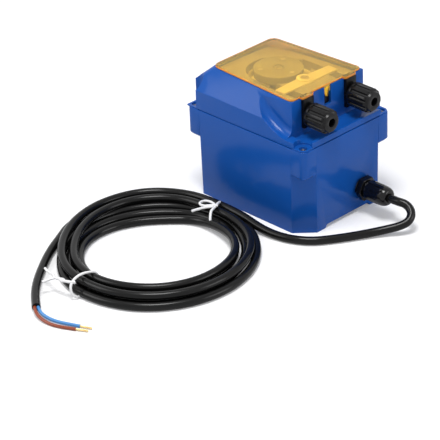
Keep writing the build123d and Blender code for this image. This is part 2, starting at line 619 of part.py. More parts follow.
# ---- pump head ----
def pump_head_insert():
    """Moulded block in the tub: the roller track, the tube channels and the port seats."""
    body = extrude(Plane.XY.offset(TUB_Z) * head_outline(HEAD_WALL + TUB_GAP), DECK_Z - TUB_Z)
    rim_z = HEAD_RIM_Z + 2 * FIT
    body += extrude(Plane.XY.offset(rim_z) * head_rim(HEAD_RIM_WALL + TUB_GAP), DECK_Z - rim_z)
    body -= rod(TRACK_R, CHAMBER_Z, DECK_Z + 1, 0, ROTOR_Y)
    channel_low = PORT_Z - TUBE_FLAT_HALF - RUN_GAP
    for sign in (-1, 1):
        x = sign * PORT_X
        half = TUBE_R + TUB_GAP
        body -= block(x - half, x + half, HEAD_FRONT, ROTOR_Y, channel_low, DECK_Z + 1)
        body -= block(x - half, x + half, HEAD_FRONT, TUBE_ROUND_Y, PORT_Z - half, DECK_Z + 1)
        body -= block(x - SLOT_W / 2, x + SLOT_W / 2, HEAD_FRONT, PORT_INNER_FACE + 2 * FIT,
                      TUB_Z - 1, DECK_Z + 1)
    body -= block(-NOTCH_W / 2, NOTCH_W / 2, HEAD_FRONT, HEAD_FRONT + HEAD_WALL + NOTCH_DEPTH,
                  HEAD_TOP - NOTCH_H - 1, DECK_Z + 1)
    body -= rod(SHAFT_R + SHAFT_GAP, TUB_Z - 1, CHAMBER_Z + 1, 0, ROTOR_Y)
    body -= rod(HEAD_SCREW_R + SNUG, DECK_Z - HEAD_SCREW_L - 1, DECK_Z + 1, 0, retainer_y())
    keep("pump_head_insert", body)


def latch_catch():
    """Dark catch behind the window's latch tongue, on the floor of its notch."""
    face = HEAD_FRONT + WINDOW_MARGIN + LATCH_T + RUN_GAP
    back = HEAD_FRONT + HEAD_WALL + NOTCH_DEPTH - TUB_GAP
    half = NOTCH_W / 2 - TUB_GAP / 2
    keep("latch_catch", block(-half, half, face, back, HEAD_TOP - NOTCH_H, HEAD_TOP - CATCH_DROP))


def retainer_y():
    """Centre of the tube retainer's screw, just clear of the roller track."""
    return ROTOR_Y - TRACK_R - RETAINER_GAP


def tube_retainer():
    """Plate over the two tube channels, with a round boss for its screw."""
    y = retainer_y()
    reach = PORT_X + TUBE_R + RETAINER_SIDE
    low_y = y - RETAINER_BOSS_R - RETAINER_EDGE
    high_y = low_y + RETAINER_D
    waist = RETAINER_WAIST_W / 2
    outline = Polygon((-reach, low_y), (reach, low_y), (reach, high_y),
                      (waist, high_y + RETAINER_BELLY), (-waist, high_y + RETAINER_BELLY),
                      (-reach, high_y), align=None)
    top = DECK_Z + RETAINER_T
    plate = extrude(Plane.XY.offset(DECK_Z) * outline, RETAINER_T)
    plate += rod(RETAINER_BOSS_R, DECK_Z, top + RETAINER_BOSS_H, 0, y)
    plate -= rod(HEAD_SCREW_HEAD_R + HEAD_SCREW_GAP, top, top + 2 * RETAINER_BOSS_H, 0, y)
    plate -= rod(HEAD_SCREW_R + 2 * FIT, DECK_Z - 1, top + 1, 0, y)
    keep("tube_retainer", plate)
    screw = rod(HEAD_SCREW_HEAD_R, top, top + HEAD_SCREW_HEAD_H, 0, y)
    screw += rod(HEAD_SCREW_R, top - HEAD_SCREW_L, top, 0, y)
    screw -= at(0, y, top + HEAD_SCREW_HEAD_H) * Box(SLOT_CUT_L, SLOT_CUT_W, HEAD_SCREW_HEAD_H)
    keep("retainer_screw", screw)


def squeeze_tube():
    """U-shaped pump tube: round at the ports, squeezed flat along the roller track."""
    flat_face = Plane.XZ * at(PORT_X, PORT_Z, 0) * Ellipse(TUBE_WALL, TUBE_FLAT_HALF)
    bend = revolve(flat_face, Axis.Z, 180)
    bend = at(0, ROTOR_Y, 0) * bend
    tube = bend
    end = PORT_INNER_FACE + RUN_GAP
    for sign in (-1, 1):
        x = sign * PORT_X
        flat = Plane.XZ * Ellipse(TUBE_WALL, TUBE_FLAT_HALF)
        ring = Plane.XZ * Circle(TUBE_R)
        straight = at(x, ROTOR_Y, PORT_Z) * extrude(flat, SQUEEZE_EXTRA)
        squeezed = at(x, TUBE_FLAT_Y, PORT_Z) * flat
        round_end = at(x, TUBE_ROUND_Y, PORT_Z) * ring
        taper = loft([squeezed.face(), round_end.face()])
        leg = front_rod(TUBE_R, end, TUBE_ROUND_Y, x, PORT_Z)
        leg -= front_rod(PORT_BARB_R + SNUG, end - 1, end + PORT_BARB_L, x, PORT_Z)
        tube += straight + taper + leg
    keep("squeeze_tube", tube)


def roller_places():
    """Roller pins round the rotor, the first one towards the ports."""
    return [(PIN_CIRCLE_R * cos(a), ROTOR_Y + PIN_CIRCLE_R * sin(a))
            for a in (radians(-90 + 360 * i / ROLLERS) for i in range(ROLLERS))]


def rotor():
    """Carrier, rollers, pins, shaft and its screw."""
    lower_end = CARRIER_Z + CARRIER_LOWER_T
    carrier = rod(CARRIER_R, CARRIER_Z, lower_end, 0, ROTOR_Y)
    carrier += rod(HUB_R, lower_end, CARRIER_TOP_Z, 0, ROTOR_Y)
    disc = rod(CARRIER_R, CARRIER_TOP_Z, CARRIER_END_Z, 0, ROTOR_Y)
    carrier += fillet(disc.faces().sort_by(Axis.Z)[-1].edges(), CARRIER_EDGE_R)
    seat = CARRIER_END_Z - ROTOR_SCREW_SINK
    carrier -= rod(SHAFT_R + SNUG, CARRIER_Z - 1, seat - HEAD_SCREW_HEAD_H, 0, ROTOR_Y)
    carrier -= rod(ROTOR_SCREW_SINK_R, seat, CARRIER_END_Z + 1, 0, ROTOR_Y)
    carrier -= rod(HEAD_SCREW_R + 2 * FIT, CARRIER_Z, CARRIER_END_Z, 0, ROTOR_Y)
    pins = []
    for index, (x, y) in enumerate(roller_places()):
        carrier -= rod(ROLLER_PIN_R + SNUG, CARRIER_Z - 1, CARRIER_END_Z + 1, x, y)
        pins.append(rod(ROLLER_PIN_R, CARRIER_Z, CARRIER_END_Z, x, y))
        roller = rod(ROLLER_R, ROLLER_Z, ROLLER_Z + ROLLER_H, x, y)
        roller = fillet(roller.edges().filter_by(GeomType.CIRCLE), ROLLER_EDGE_R)
        roller -= rod(ROLLER_PIN_R + FIT, ROLLER_Z - 1, ROLLER_Z + ROLLER_H + 1, x, y)
        keep(f"roller_{index + 1}", roller)
    keep("roller_carrier", carrier)
    keep("roller_pins", *pins)
    shaft_top = seat - 1
    shaft = rod(SHAFT_R, GEARBOX_BOTTOM + BUSH_FLOOR_T + 2 * FIT, shaft_top, 0, ROTOR_Y)
    shaft -= rod(HEAD_SCREW_R + SNUG, seat - ROTOR_SCREW_L - 3, shaft_top + 1, 0, ROTOR_Y)
    keep("output_shaft", shaft)
    screw = rod(HEAD_SCREW_HEAD_R, seat, seat + ROTOR_SCREW_HEAD_H, 0, ROTOR_Y)
    screw += rod(HEAD_SCREW_R, seat - ROTOR_SCREW_L - 2, seat, 0, ROTOR_Y)
    screw -= at(0, ROTOR_Y, seat + ROTOR_SCREW_HEAD_H) * Box(ROTOR_SLOT_L, ROTOR_SLOT_W, ROTOR_SCREW_HEAD_H)
    keep("rotor_screw", screw)
    seal = pipe(SHAFT_SEAL_R - SNUG, SHAFT_R + FIT, TUB_Z - SHAFT_SEAL_T, TUB_Z, 0, ROTOR_Y)
    keep("shaft_seal", seal)


def port(name, x):
    """Hose connector: slot flange, barb for the tube, thread and nozzle for the hose."""
    half = SLOT_W / 2 - 2 * FIT
    low = PORT_Z - PORT_FLANGE_DROP
    flange = block(x - half, x + half, PORT_FLANGE_FACE, PORT_INNER_FACE, low,
                   HEAD_TOP - WINDOW_RIB_H - RUN_GAP)
    flange += block(x - half, x + half, PORT_FLANGE_FACE, HEAD_FRONT + HEAD_RIM_WALL, low,
                    HEAD_TOP - RUN_GAP)
    body = flange + front_rod(PORT_THREAD_R, PORT_THREAD_END, PORT_FLANGE_FACE, x, PORT_Z)
    for step in range(PORT_GROOVES):
        y = PORT_THREAD_END + PORT_GROOVE_START + PORT_GROOVE_PITCH * step
        ring = front_rod(PORT_THREAD_R + 1, y, y + PORT_GROOVE_W, x, PORT_Z)
        body -= ring - front_rod(PORT_THREAD_R - PORT_GROOVE_DEPTH, y - 1, y + PORT_GROOVE_W + 1, x, PORT_Z)
    body += front_cone(PORT_NOZZLE_R - PORT_NOZZLE_TAPER, PORT_NOZZLE_R, PORT_NOZZLE_END,
                       PORT_THREAD_END, x, PORT_Z)
    barb_end = PORT_INNER_FACE + PORT_BARB_L
    body += front_rod(PORT_BARB_R - PORT_BARB_STEP, PORT_INNER_FACE, barb_end, x, PORT_Z)
    body += front_cone(PORT_BARB_R, PORT_BARB_R - PORT_BARB_TAPER, barb_end - PORT_BARB_TIP_L,
                       barb_end, x, PORT_Z)
    body -= front_rod(PORT_BORE_R, PORT_NOZZLE_END - 1, barb_end + 1, x, PORT_Z)
    keep(name + "_connector", body)


def hose_nut(name, x):
    """Fluted nut that clamps the hose, and the grip ring inside it."""
    nose_start = NUT_FACE + NUT_NOSE_L
    shell = front_rod(NUT_R, nose_start, NUT_BACK, x, PORT_Z)
    shell += front_cone(NUT_NOSE_R, NUT_NOSE_R + NUT_NOSE_FLARE, NUT_FACE, nose_start, x, PORT_Z)
    shell += front_cone(NUT_R - NUT_BEVEL, NUT_R, nose_start - NUT_BEVEL, nose_start, x, PORT_Z)
    flute_end = NUT_BACK - NUT_COLLAR_L
    for step in range(NUT_RIBS):
        turn = 2 * pi * (step + 0.5) / NUT_RIBS
        shell -= front_rod(NUT_FLUTE_R, NUT_FACE - 1, flute_end, x + NUT_R * cos(turn),
                           PORT_Z + NUT_R * sin(turn))
    shoulder = PORT_THREAD_END - GRIP_L - 2 * GRIP_GAP
    shell -= front_rod(PORT_THREAD_R + NUT_BORE_GAP, shoulder, NUT_BACK + 1, x, PORT_Z)
    shell -= front_rod(NUT_HOLE_R, NUT_FACE - 1, shoulder + 1, x, PORT_Z)
    keep(name + "_hose_nut", shell)
    grip_end = PORT_THREAD_END - GRIP_GAP
    grip = front_rod(GRIP_R, grip_end - GRIP_L, grip_end, x, PORT_Z)
    grip -= front_cone(NUT_HOLE_R, NUT_HOLE_R + GRIP_TAPER, grip_end - GRIP_L, grip_end, x, PORT_Z)
    keep(name + "_grip_ring", grip)


# ---- window ----
def window_cover():
    """Clear cover over the roller head, with two hoods over the ports and a latch tongue."""
    margin = WINDOW_MARGIN
    outline = rounded_head(margin, WINDOW_CORNER_FRONT, WINDOW_CORNER_BACK)
    plate = extrude(Plane.XY.offset(HEAD_TOP) * outline, WINDOW_T)
    far_edges = [edge for edge in plate.edges() if edge.bounding_box().size.Z < WINDOW_T / 2
                 and edge.center().Y > WINDOW_BACK - WINDOW_CORNER_BACK]
    plate = fillet(far_edges, WINDOW_HINGE_R)
    rib_out = HEAD_RIM_WALL + WINDOW_RIB_GAP
    rib = head_rim(rib_out) - head_rim(rib_out + WINDOW_RIB_T)
    plate += extrude(Plane.XY.offset(HEAD_TOP - WINDOW_RIB_H) * rib, WINDOW_RIB_H)
    front = HEAD_FRONT + margin
    for sign in (-1, 1):
        x = sign * PORT_X
        hood = block(x - TAB_W / 2, x + TAB_W / 2, HEAD_FRONT - TAB_OUT, front + 1, HEAD_TOP, WINDOW_TOP)
        plate += fillet(hood.edges().filter_by(Axis.Z).sort_by(Axis.Y)[:2], TAB_ROUND)
    tip = LATCH_TIP_W / 2
    root = NOTCH_W / 2 - RUN_GAP
    tongue = Polygon((-root, HEAD_TOP + WINDOW_T / 2), (-tip, HEAD_TOP - LATCH_H),
                     (tip, HEAD_TOP - LATCH_H), (root, HEAD_TOP + WINDOW_T / 2), align=None)
    tongue_y = HEAD_FRONT + margin + LATCH_T
    plate += at(0, tongue_y, 0) * extrude(Plane.XZ * tongue, LATCH_T)
    keep("window_cover", plate)


# ---- gear motor ----
def gear_face(teeth, phase):
    """Involute spur gear outline with one tooth at angle phase, degrees."""
    pitch_r = MODULE * teeth / 2
    slant = radians(PRESSURE_ANGLE)
    base_r = pitch_r * cos(slant)
    tip_r = pitch_r + MODULE
    root_r = pitch_r - DEDENDUM * MODULE
    involute_at_pitch = tan(slant) - slant
    half_tooth = pi / (2 * teeth) - TOOTH_BACKLASH / (2 * pitch_r)
    points = []
    steps = 4
    for tooth in range(teeth):
        centre = radians(phase) + 2 * pi * tooth / teeth
        flank = []
        for step in range(steps + 1):
            radius = max(base_r, root_r) + (tip_r - max(base_r, root_r)) * step / steps
            pressure = acos(min(1.0, base_r / radius))
            flank.append((radius, half_tooth + involute_at_pitch - (tan(pressure) - pressure)))
        if root_r < base_r:
            flank.insert(0, (root_r, flank[0][1]))
        for radius, half in flank:
            points.append((radius * cos(centre - half), radius * sin(centre - half)))
        for radius, half in reversed(flank):
            points.append((radius * cos(centre + half), radius * sin(centre + half)))
    return Polygon(*points, align=None)


def spur_gear(teeth, phase, z_low, thickness, x, y):
    """Spur gear at a place."""
    return at(x, y, z_low) * extrude(gear_face(teeth, phase), thickness)


def gearbox_posts():
    """Screw places of the gearbox."""
    inset = GEARBOX_POST_INSET
    return [(x, y) for x in (GEARBOX_LOW_X + inset, GEARBOX_HIGH_X - SCREW_HEAD_R)
            for y in (GEARBOX_LOW_Y + inset, GEARBOX_HIGH_Y - inset)]


def gearbox_outline(offset=0.0):
    """Rounded outline of the gearbox."""
    width = GEARBOX_HIGH_X - GEARBOX_LOW_X - 2 * offset
    depth = GEARBOX_HIGH_Y - GEARBOX_LOW_Y - 2 * offset
    face = RectangleRounded(width, depth, GEARBOX_ROUND - offset)
    return at((GEARBOX_LOW_X + GEARBOX_HIGH_X) / 2, (GEARBOX_LOW_Y + GEARBOX_HIGH_Y) / 2, 0) * face


def gear_motor():
    """Gearbox shells, gears, bushes and the motor with its magnet and coil."""
    split = GEARBOX_TOP - GEARBOX_SPLIT
    inner_low = GEARBOX_BOTTOM + GEARBOX_WALL
    inner_high = GEARBOX_TOP - GEARBOX_WALL
    base = extrude(Plane.XY.offset(GEARBOX_BOTTOM) * gearbox_outline(), split - GEARBOX_BOTTOM)
    base -= extrude(Plane.XY.offset(inner_low) * gearbox_outline(GEARBOX_WALL), GEARBOX_H)
    lid = extrude(Plane.XY.offset(split) * gearbox_outline(), GEARBOX_SPLIT)
    lid -= extrude(Plane.XY.offset(split - 1) * gearbox_outline(GEARBOX_WALL), inner_high - split + 1)
    post_r = SCREW_HEAD_R + GEARBOX_POST_WALL
    hole_r = SCREW_R + GEARBOX_SCREW_GAP
    screws = []
    for x, y in gearbox_posts():
        base += rod(post_r, GEARBOX_BOTTOM, split, x, y)
        lid += rod(post_r, split, GEARBOX_TOP, x, y)
        base -= rod(hole_r, GEARBOX_BOTTOM - 1, split + 1, x, y)
        lid -= rod(hole_r, split - 1, GEARBOX_TOP + 1, x, y)
        screw = rod(SCREW_HEAD_R, GEARBOX_BOTTOM - SCREW_HEAD_H, GEARBOX_BOTTOM, x, y)
        screws.append(screw + rod(SCREW_R, GEARBOX_BOTTOM, GEARBOX_TOP + SCREW_GRIP, x, y))
    bush_low = GEARBOX_BOTTOM + BUSH_FLOOR_T
    pin_low = GEARBOX_BOTTOM + PIN_FLOOR_T
    pin_high = inner_high + PIN_LID_DEPTH
    lid -= rod(BUSH_R, inner_high - 1, GEARBOX_TOP + 1, 0, ROTOR_Y)
    base += rod(BUSH_R + BOSS_WALL, inner_low, inner_low + BUSH_BOSS_H, 0, ROTOR_Y)
    base -= rod(BUSH_R, bush_low, inner_low + BUSH_BOSS_H + 1, 0, ROTOR_Y)
    base -= rod(MOTOR_SHAFT_R + MOTOR_BEARING_WALL, GEARBOX_BOTTOM - 1, inner_low + 1, 0, MOTOR_Y)
    base += rod(GEAR_PIN_R + BOSS_WALL, inner_low, inner_low + PIN_BOSS_H, IDLER_X, IDLER_Y)
    base -= rod(GEAR_PIN_R + SNUG, pin_low, inner_low + PIN_BOSS_H + 1, IDLER_X, IDLER_Y)
    lid += rod(GEAR_PIN_R + BOSS_WALL, inner_high - PIN_LID_BOSS_H, inner_high, IDLER_X, IDLER_Y)
    lid -= rod(GEAR_PIN_R + SNUG, inner_high - PIN_LID_BOSS_H - 1, pin_high, IDLER_X, IDLER_Y)
    keep("gearbox_base", base)
    keep("gearbox_lid", lid)
    keep("gearbox_screws", *screws)
    upper = pipe(BUSH_R - SNUG, SHAFT_R + FIT, inner_high, GEARBOX_TOP, 0, ROTOR_Y)
    lower = pipe(BUSH_R - SNUG, SHAFT_R + FIT, bush_low, inner_low + BUSH_BOSS_H, 0, ROTOR_Y)
    keep("shaft_bushes", upper, lower)
    keep("gear_pin", rod(GEAR_PIN_R, pin_low, pin_high - 2 * FIT, IDLER_X, IDLER_Y))
    to_idler = degrees(atan2(IDLER_Y - ROTOR_Y, IDLER_X))
    from_motor = degrees(atan2(IDLER_Y - MOTOR_Y, IDLER_X))
    half_wheel = 180 / WHEEL_TEETH
    output = spur_gear(WHEEL_TEETH, to_idler, UPPER_GEAR_Z, WHEEL_T, 0, ROTOR_Y)
    wheel_top = UPPER_GEAR_Z + WHEEL_T
    output += rod(SHAFT_R + GEAR_HUB_WALL, UPPER_GEAR_Z, wheel_top + GEAR_HUB_T, 0, ROTOR_Y)
    output -= rod(SHAFT_R + SNUG, UPPER_GEAR_Z - 1, wheel_top + GEAR_HUB_T + 1, 0, ROTOR_Y)
    for step in range(WHEEL_HOLES):
        turn = 2 * pi * step / WHEEL_HOLES
        output -= rod(WHEEL_HOLE_R, UPPER_GEAR_Z - 1, wheel_top + 1, WHEEL_HOLE_PLACE_R * cos(turn),
                      ROTOR_Y + WHEEL_HOLE_PLACE_R * sin(turn))
    keep("output_wheel", output)
    pinion_phase = to_idler + 180 + 180 / PINION_TEETH
    wheel_phase = from_motor + 180 + half_wheel
    idler = spur_gear(WHEEL_TEETH, wheel_phase, LOWER_GEAR_Z, WHEEL_T, IDLER_X, IDLER_Y)
    idler += spur_gear(PINION_TEETH, pinion_phase, LOWER_GEAR_Z + WHEEL_T, PINION_T, IDLER_X, IDLER_Y)
    idler -= rod(GEAR_PIN_R + FIT, LOWER_GEAR_Z - 1, UPPER_GEAR_Z + PINION_T + 3, IDLER_X, IDLER_Y)
    keep("idler_gear", idler)
    motor_gear = spur_gear(PINION_TEETH, from_motor, LOWER_GEAR_Z - PINION_MARGIN,
                           WHEEL_T + 2 * PINION_MARGIN, 0, MOTOR_Y)
    motor_gear -= rod(MOTOR_SHAFT_R + SNUG, LOWER_GEAR_Z - 2, UPPER_GEAR_Z + 2, 0, MOTOR_Y)
    keep("motor_pinion", motor_gear)
    motor_parts()


def motor_parts():
    """Synchronous motor under the gearbox: can, coil, magnet rotor and its shaft."""
    top = GEARBOX_BOTTOM
    can = rod(MOTOR_R, MOTOR_BOTTOM, top, 0, MOTOR_Y)
    can = fillet(can.faces().sort_by(Axis.Z)[0].edges(), MOTOR_EDGE_R)
    can -= rod(MOTOR_R - MOTOR_WALL, MOTOR_BOTTOM + MOTOR_WALL, top - MOTOR_WALL, 0, MOTOR_Y)
    bearing_r = MOTOR_SHAFT_R + MOTOR_BEARING_WALL
    can -= rod(bearing_r, top - 2 * MOTOR_WALL, top + 1, 0, MOTOR_Y)
    can += pipe(MOTOR_SHAFT_R + BOSS_WALL, MOTOR_SHAFT_R + FIT, MOTOR_BOTTOM + MOTOR_WALL / 2,
                MOTOR_BOTTOM + MOTOR_FOOT_BEARING_H, 0, MOTOR_Y)
    keep("motor_can", can)
    coil = pipe(COIL_R, COIL_INNER_R, MOTOR_BOTTOM + MOTOR_WALL, top - MOTOR_WALL, 0, MOTOR_Y)
    keep("motor_coil", coil)
    magnet = rod(MAGNET_R, MOTOR_BOTTOM + MAGNET_LOW, top - MAGNET_HIGH, 0, MOTOR_Y)
    magnet -= rod(MOTOR_SHAFT_R + SNUG, MOTOR_BOTTOM, top, 0, MOTOR_Y)
    keep("motor_magnet", magnet)
    keep("motor_shaft", rod(MOTOR_SHAFT_R, MOTOR_BOTTOM + MOTOR_WALL + RUN_GAP,
                            LOWER_GEAR_Z + WHEEL_T + PINION_MARGIN, 0, MOTOR_Y))
    bearing = pipe(bearing_r - SNUG, MOTOR_SHAFT_R + FIT, top - MOTOR_BEARING_IN, top + MOTOR_BEARING_OUT,
                   0, MOTOR_Y)
    keep("motor_bearing", bearing)


# ---- cable entry ----
def cable_gland():
    """Gland through the housing's front wall: body, seal, cap, washer and locknut."""
    x, z = GLAND_X, GLAND_Z
    wall_in = FRONT_WALL_Y + WALL + WALL_SPACING
    hex_back = GLAND_SEAT_Y - SEAL_RING_T
    body = hex_bar(GLAND_HEX, GLAND_HEX_FACE, hex_back, x, z)
    body += front_rod(GLAND_THREAD_R, hex_back, wall_in + GLAND_INSIDE_L, x, z)
    body += front_rod(GLAND_NECK_R, GLAND_NECK_END, GLAND_HEX_FACE, x, z)
    body -= front_rod(CABLE_R + CABLE_BODY_GAP, GLAND_NECK_END - 1, wall_in + GLAND_INSIDE_L + 1, x, z)
    body -= front_rod(GLAND_SEAL_R + CABLE_SEAL_GAP, GLAND_NECK_END - 1, GLAND_NECK_END + GLAND_SEAL_DEPTH,
                      x, z)
    keep("gland_body", body)
    washer = front_rod(GLAND_THREAD_R + SEAL_RING_W, hex_back, GLAND_SEAT_Y, x, z)
    washer -= front_rod(GLAND_THREAD_R + SNUG, hex_back - 1, FRONT_WALL_Y + 1, x, z)
    keep("gland_washer", washer)
    nut = hex_bar(LOCKNUT_HEX, wall_in, wall_in + LOCKNUT_T, x, z)
    nut -= front_rod(GLAND_THREAD_R + SNUG, wall_in - 1, wall_in + LOCKNUT_T + 1, x, z)
    keep("gland_locknut", nut)
    cap_back = GLAND_HEX_FACE - GLAND_CAP_GAP
    dome_back = GLAND_END + GLAND_DOME_L
    cap = front_rod(GLAND_CAP_R, dome_back, cap_back, x, z)
    cap &= hex_bar(2 * (GLAND_CAP_R - GLAND_CAP_FLAT), dome_back, cap_back, x, z, GLAND_CAP_FACETS)
    cap += front_cone(GLAND_FACE_R, GLAND_DOME_R, GLAND_END, dome_back, x, z)
    ring_seat = GLAND_END + GLAND_CAP_END_L
    cap -= front_rod(GLAND_NECK_R + CABLE_SEAL_GAP, GLAND_NECK_END - GLAND_CAP_OVERLAP, cap_back + 1, x, z)
    cap -= front_rod(GLAND_SEAL_R + 2 * CABLE_SEAL_GAP, ring_seat, cap_back, x, z)
    cap -= front_rod(CABLE_R + CABLE_HOLE_GAP, GLAND_END - 1, cap_back, x, z)
    keep("gland_cap", cap)
    ring_start = ring_seat + CABLE_SEAL_GAP
    ring_end = ring_start + CLAMP_RING_T
    ring = front_rod(GLAND_SEAL_R, ring_start, ring_end, x, z)
    ring -= front_rod(CABLE_R + CABLE_HOLE_GAP, ring_start - 1, ring_end + 1, x, z)
    keep("gland_clamp_ring", ring)
    seal_back = GLAND_NECK_END + GLAND_SEAL_DEPTH - RUN_GAP
    seal = front_rod(GLAND_SEAL_R, ring_end + CABLE_SEAL_GAP, seal_back, x, z)
    seal -= front_rod(CABLE_R + CABLE_SEAL_GAP, ring_end, seal_back + 1, x, z)
    keep("gland_seal", seal)


def wire(points, radius, bends):
    """Round wire along straight runs joined by tangent arcs."""
    path = FilletPolyline(*points, radius=bends)
    return sweep(Plane(origin=path @ 0, z_dir=path % 0) * Circle(radius), path=path)


def inner_wiring():
    """Cable end inside the box, terminal block and leads to the motor."""
    x = GLAND_X
    sheath_end = FRONT_WALL_Y + SHEATH_IN
    keep("inner_cable", front_rod(CABLE_R, GLAND_END, sheath_end, x, GLAND_Z))
    low_y = BASE_HALF_D - WALL - TERMINAL_BACK - TERMINAL_D
    low_z = FLOOR + CHANNEL_T
    top_z = low_z + TERMINAL_H
    middle_y = low_y + TERMINAL_D / 2
    entry_z = low_z + TERMINAL_ENTRY
    term = block(x - TERMINAL_W / 2, x + TERMINAL_W / 2, low_y, low_y + TERMINAL_D, low_z, top_z)
    screws = []
    for side in (-1, 1):
        pole_x = x + side * TERMINAL_PITCH / 2
        term -= front_rod(CORE_R + TERMINAL_HOLE_GAP, low_y - 1, low_y + TERMINAL_D + 1, pole_x, entry_z)
        term -= rod(LID_SCREW_R, entry_z, top_z + 1, pole_x, middle_y)
        screws.append(rod(LID_SCREW_R - 2 * FIT, entry_z + TERMINAL_SCREW_LIFT,
                          top_z - TERMINAL_SCREW_SINK, pole_x, middle_y))
    keep("terminal_block", term)
    keep("terminal_screws", *screws)
    lead_z = MOTOR_BOTTOM + LEAD_RISE
    motor_face = MOTOR_Y + MOTOR_R + 2 * FIT
    for name, side in (("brown", -1), ("blue", 1)):
        pole_x = x + side * TERMINAL_PITCH / 2
        core_x = x + side * CORE_R
        core = [(core_x, sheath_end, GLAND_Z), (core_x, sheath_end + 6, GLAND_Z),
                (pole_x, low_y - 24, entry_z + 3), (pole_x, low_y - 10, entry_z),
                (pole_x, low_y + TERMINAL_D / 3, entry_z)]
        keep(f"inner_{name}_core", wire(core, CORE_R, CORE_BENDS))
        loop_y = low_y + TERMINAL_D + 6
        lead = [(pole_x, low_y + 10, entry_z), (pole_x, loop_y, entry_z), (pole_x, loop_y, lead_z),
                (side * LEAD_APART, motor_face + LEAD_REACH, lead_z),
                (side * LEAD_APART, motor_face, lead_z)]
        keep(f"motor_{name}_lead", wire(lead, LEAD_R, LEAD_BENDS))


# ---- free cord ----
LEAD_ROUTE = [(GLAND_X, GLAND_END, GLAND_Z), (GLAND_X, -97.5, GLAND_Z), (18.4, -102.6, 18.9),
              (18.8, -107.6, 16.6), (16.3, -111.9, 13.1), (10.9, -112.9, 9.5), (4.5, -108.9, 6.9),
              (-3.0, -102.2, 4.9), (-12.8, -95.4, 3.6), (-25.5, -88.0, 3.3), (-38.5, -80.0, 3.3),
              (-50.0, -71.5, 3.3), (-58.0, -59.0, 3.3), (-62.0, -43.5, 3.3), (-63.0, -28.0, 4.6),
              (-63.2, -14.0, 7.4)]
TAIL_ROUTE = [(-175.0, 73.0, 3.3), (-193.0, 63.5, 3.3), (-211.0, 51.0, 3.3), (-229.0, 37.0, 3.3),
              (-243.5, 22.5, 3.3), (-252.5, 10.5, 3.3)]
BROWN_ROUTE = [(-253.68, 11.12, 3.3), (-256.8, 6.9, 3.1), (-259.6, -1.0, 2.1), (-259.8, -11.0, 1.3),
               (-256.9, -21.0, 1.3), (-251.7, -31.0, 1.3)]
BLUE_ROUTE = [(-251.58, 9.52, 3.3), (-254.4, 5.2, 3.0), (-255.7, -2.0, 2.1), (-254.3, -11.5, 1.3),
              (-251.0, -20.8, 1.3), (-246.9, -30.1, 1.3)]
TIE_1_ENDS = [[(-74.0, 9.0, 13.8), (-71.0, 14.0, 14.4), (-77.0, 21.0, 14.4), (-84.0, 16.5, 14.4),
               (-92.0, 15.0, 14.4)]]
TIE_2_ENDS = [[(-214.0, 6.2, 13.6), (-221.0, 18.0, 14.4), (-218.4, 37.6, 13.4)],
              [(-217.5, 6.2, 13.6), (-223.5, 14.0, 13.4), (-231.9, 26.1, 10.0)]]
TIE_R = 0.8
TIE_GAP = 0.25
TIE_NOTCH = 1.85
TIE_BEND = 3.0
TIE_CORNER = 1.4
TIE_ANGLES = (5.0, 178.0)
COIL_OUTER = (-137.5, 5.5, 83.0)   # centre x, y and radius of the coil's outside
COIL_INNER = (-142.5, 1.0, 51.0)
COIL_H = 12.6
COIL_ROUND = 4.5


def bend_radii(points):
    """Arc radius at each corner: as large as its two runs allow."""
    radii = []
    for before, corner, after in zip(points, points[1:], points[2:]):
        run_in = Vector(*corner) - Vector(*before)
        run_out = Vector(*after) - Vector(*corner)
        half_turn = radians(run_in.get_angle(run_out) / 2)
        radii.append(0.45 * min(run_in.length, run_out.length) / tan(half_turn))
    return radii


def cord_tube(name, points, radius):
    """Tube of a free cord along its route, with its smallest bend and volume reported."""
    radii = bend_radii(points)
    path = FilletPolyline(*points, radius=radii)
    tube = sweep(Plane(origin=path @ 0, z_dir=path % 0) * Circle(radius), path=path)
    share = tube.volume / (pi * radius ** 2 * path.length)
    bends = " ".join(f"{r:.1f}" for r in radii)
    print(f"{name}: length {path.length:.1f}, bends {bends}, volume share {share:.4f}")
    keep(name, tube)


def free_cord():
    """Lead, coil, tail, stripped cores and the two wire ties."""
    cord_tube("cord_lead", LEAD_ROUTE, CABLE_R)
    cord_tube("cord_tail", TAIL_ROUTE, CABLE_R)
    x_out, y_out, r_out = COIL_OUTER
    x_in, y_in, r_in = COIL_INNER
    coil = rod(r_out, 0, COIL_H, x_out, y_out)
    coil = fillet(coil.edges().filter_by(GeomType.CIRCLE), COIL_ROUND)
    coil -= rod(r_in, -1, COIL_H + 1, x_in, y_in)
    keep("cord_coil", coil)
    coil_ties()
    for name in ("cord_lead", "cord_tail", "coil_tie_1", "coil_tie_2"):
        cut(name, NODES["cord_coil"][0])
    for name, route in (("brown", BROWN_ROUTE), ("blue", BLUE_ROUTE)):
        cord_tube(f"{name}_core", route, CORE_R)
        last, before = Vector(*route[-1]), Vector(*route[-2])
        along = (last - before).normalized()
        strands = Plane(origin=last, z_dir=along) * extrude(Circle(STRAND_R), STRAND_L)
        keep(f"{name}_strands", strands)


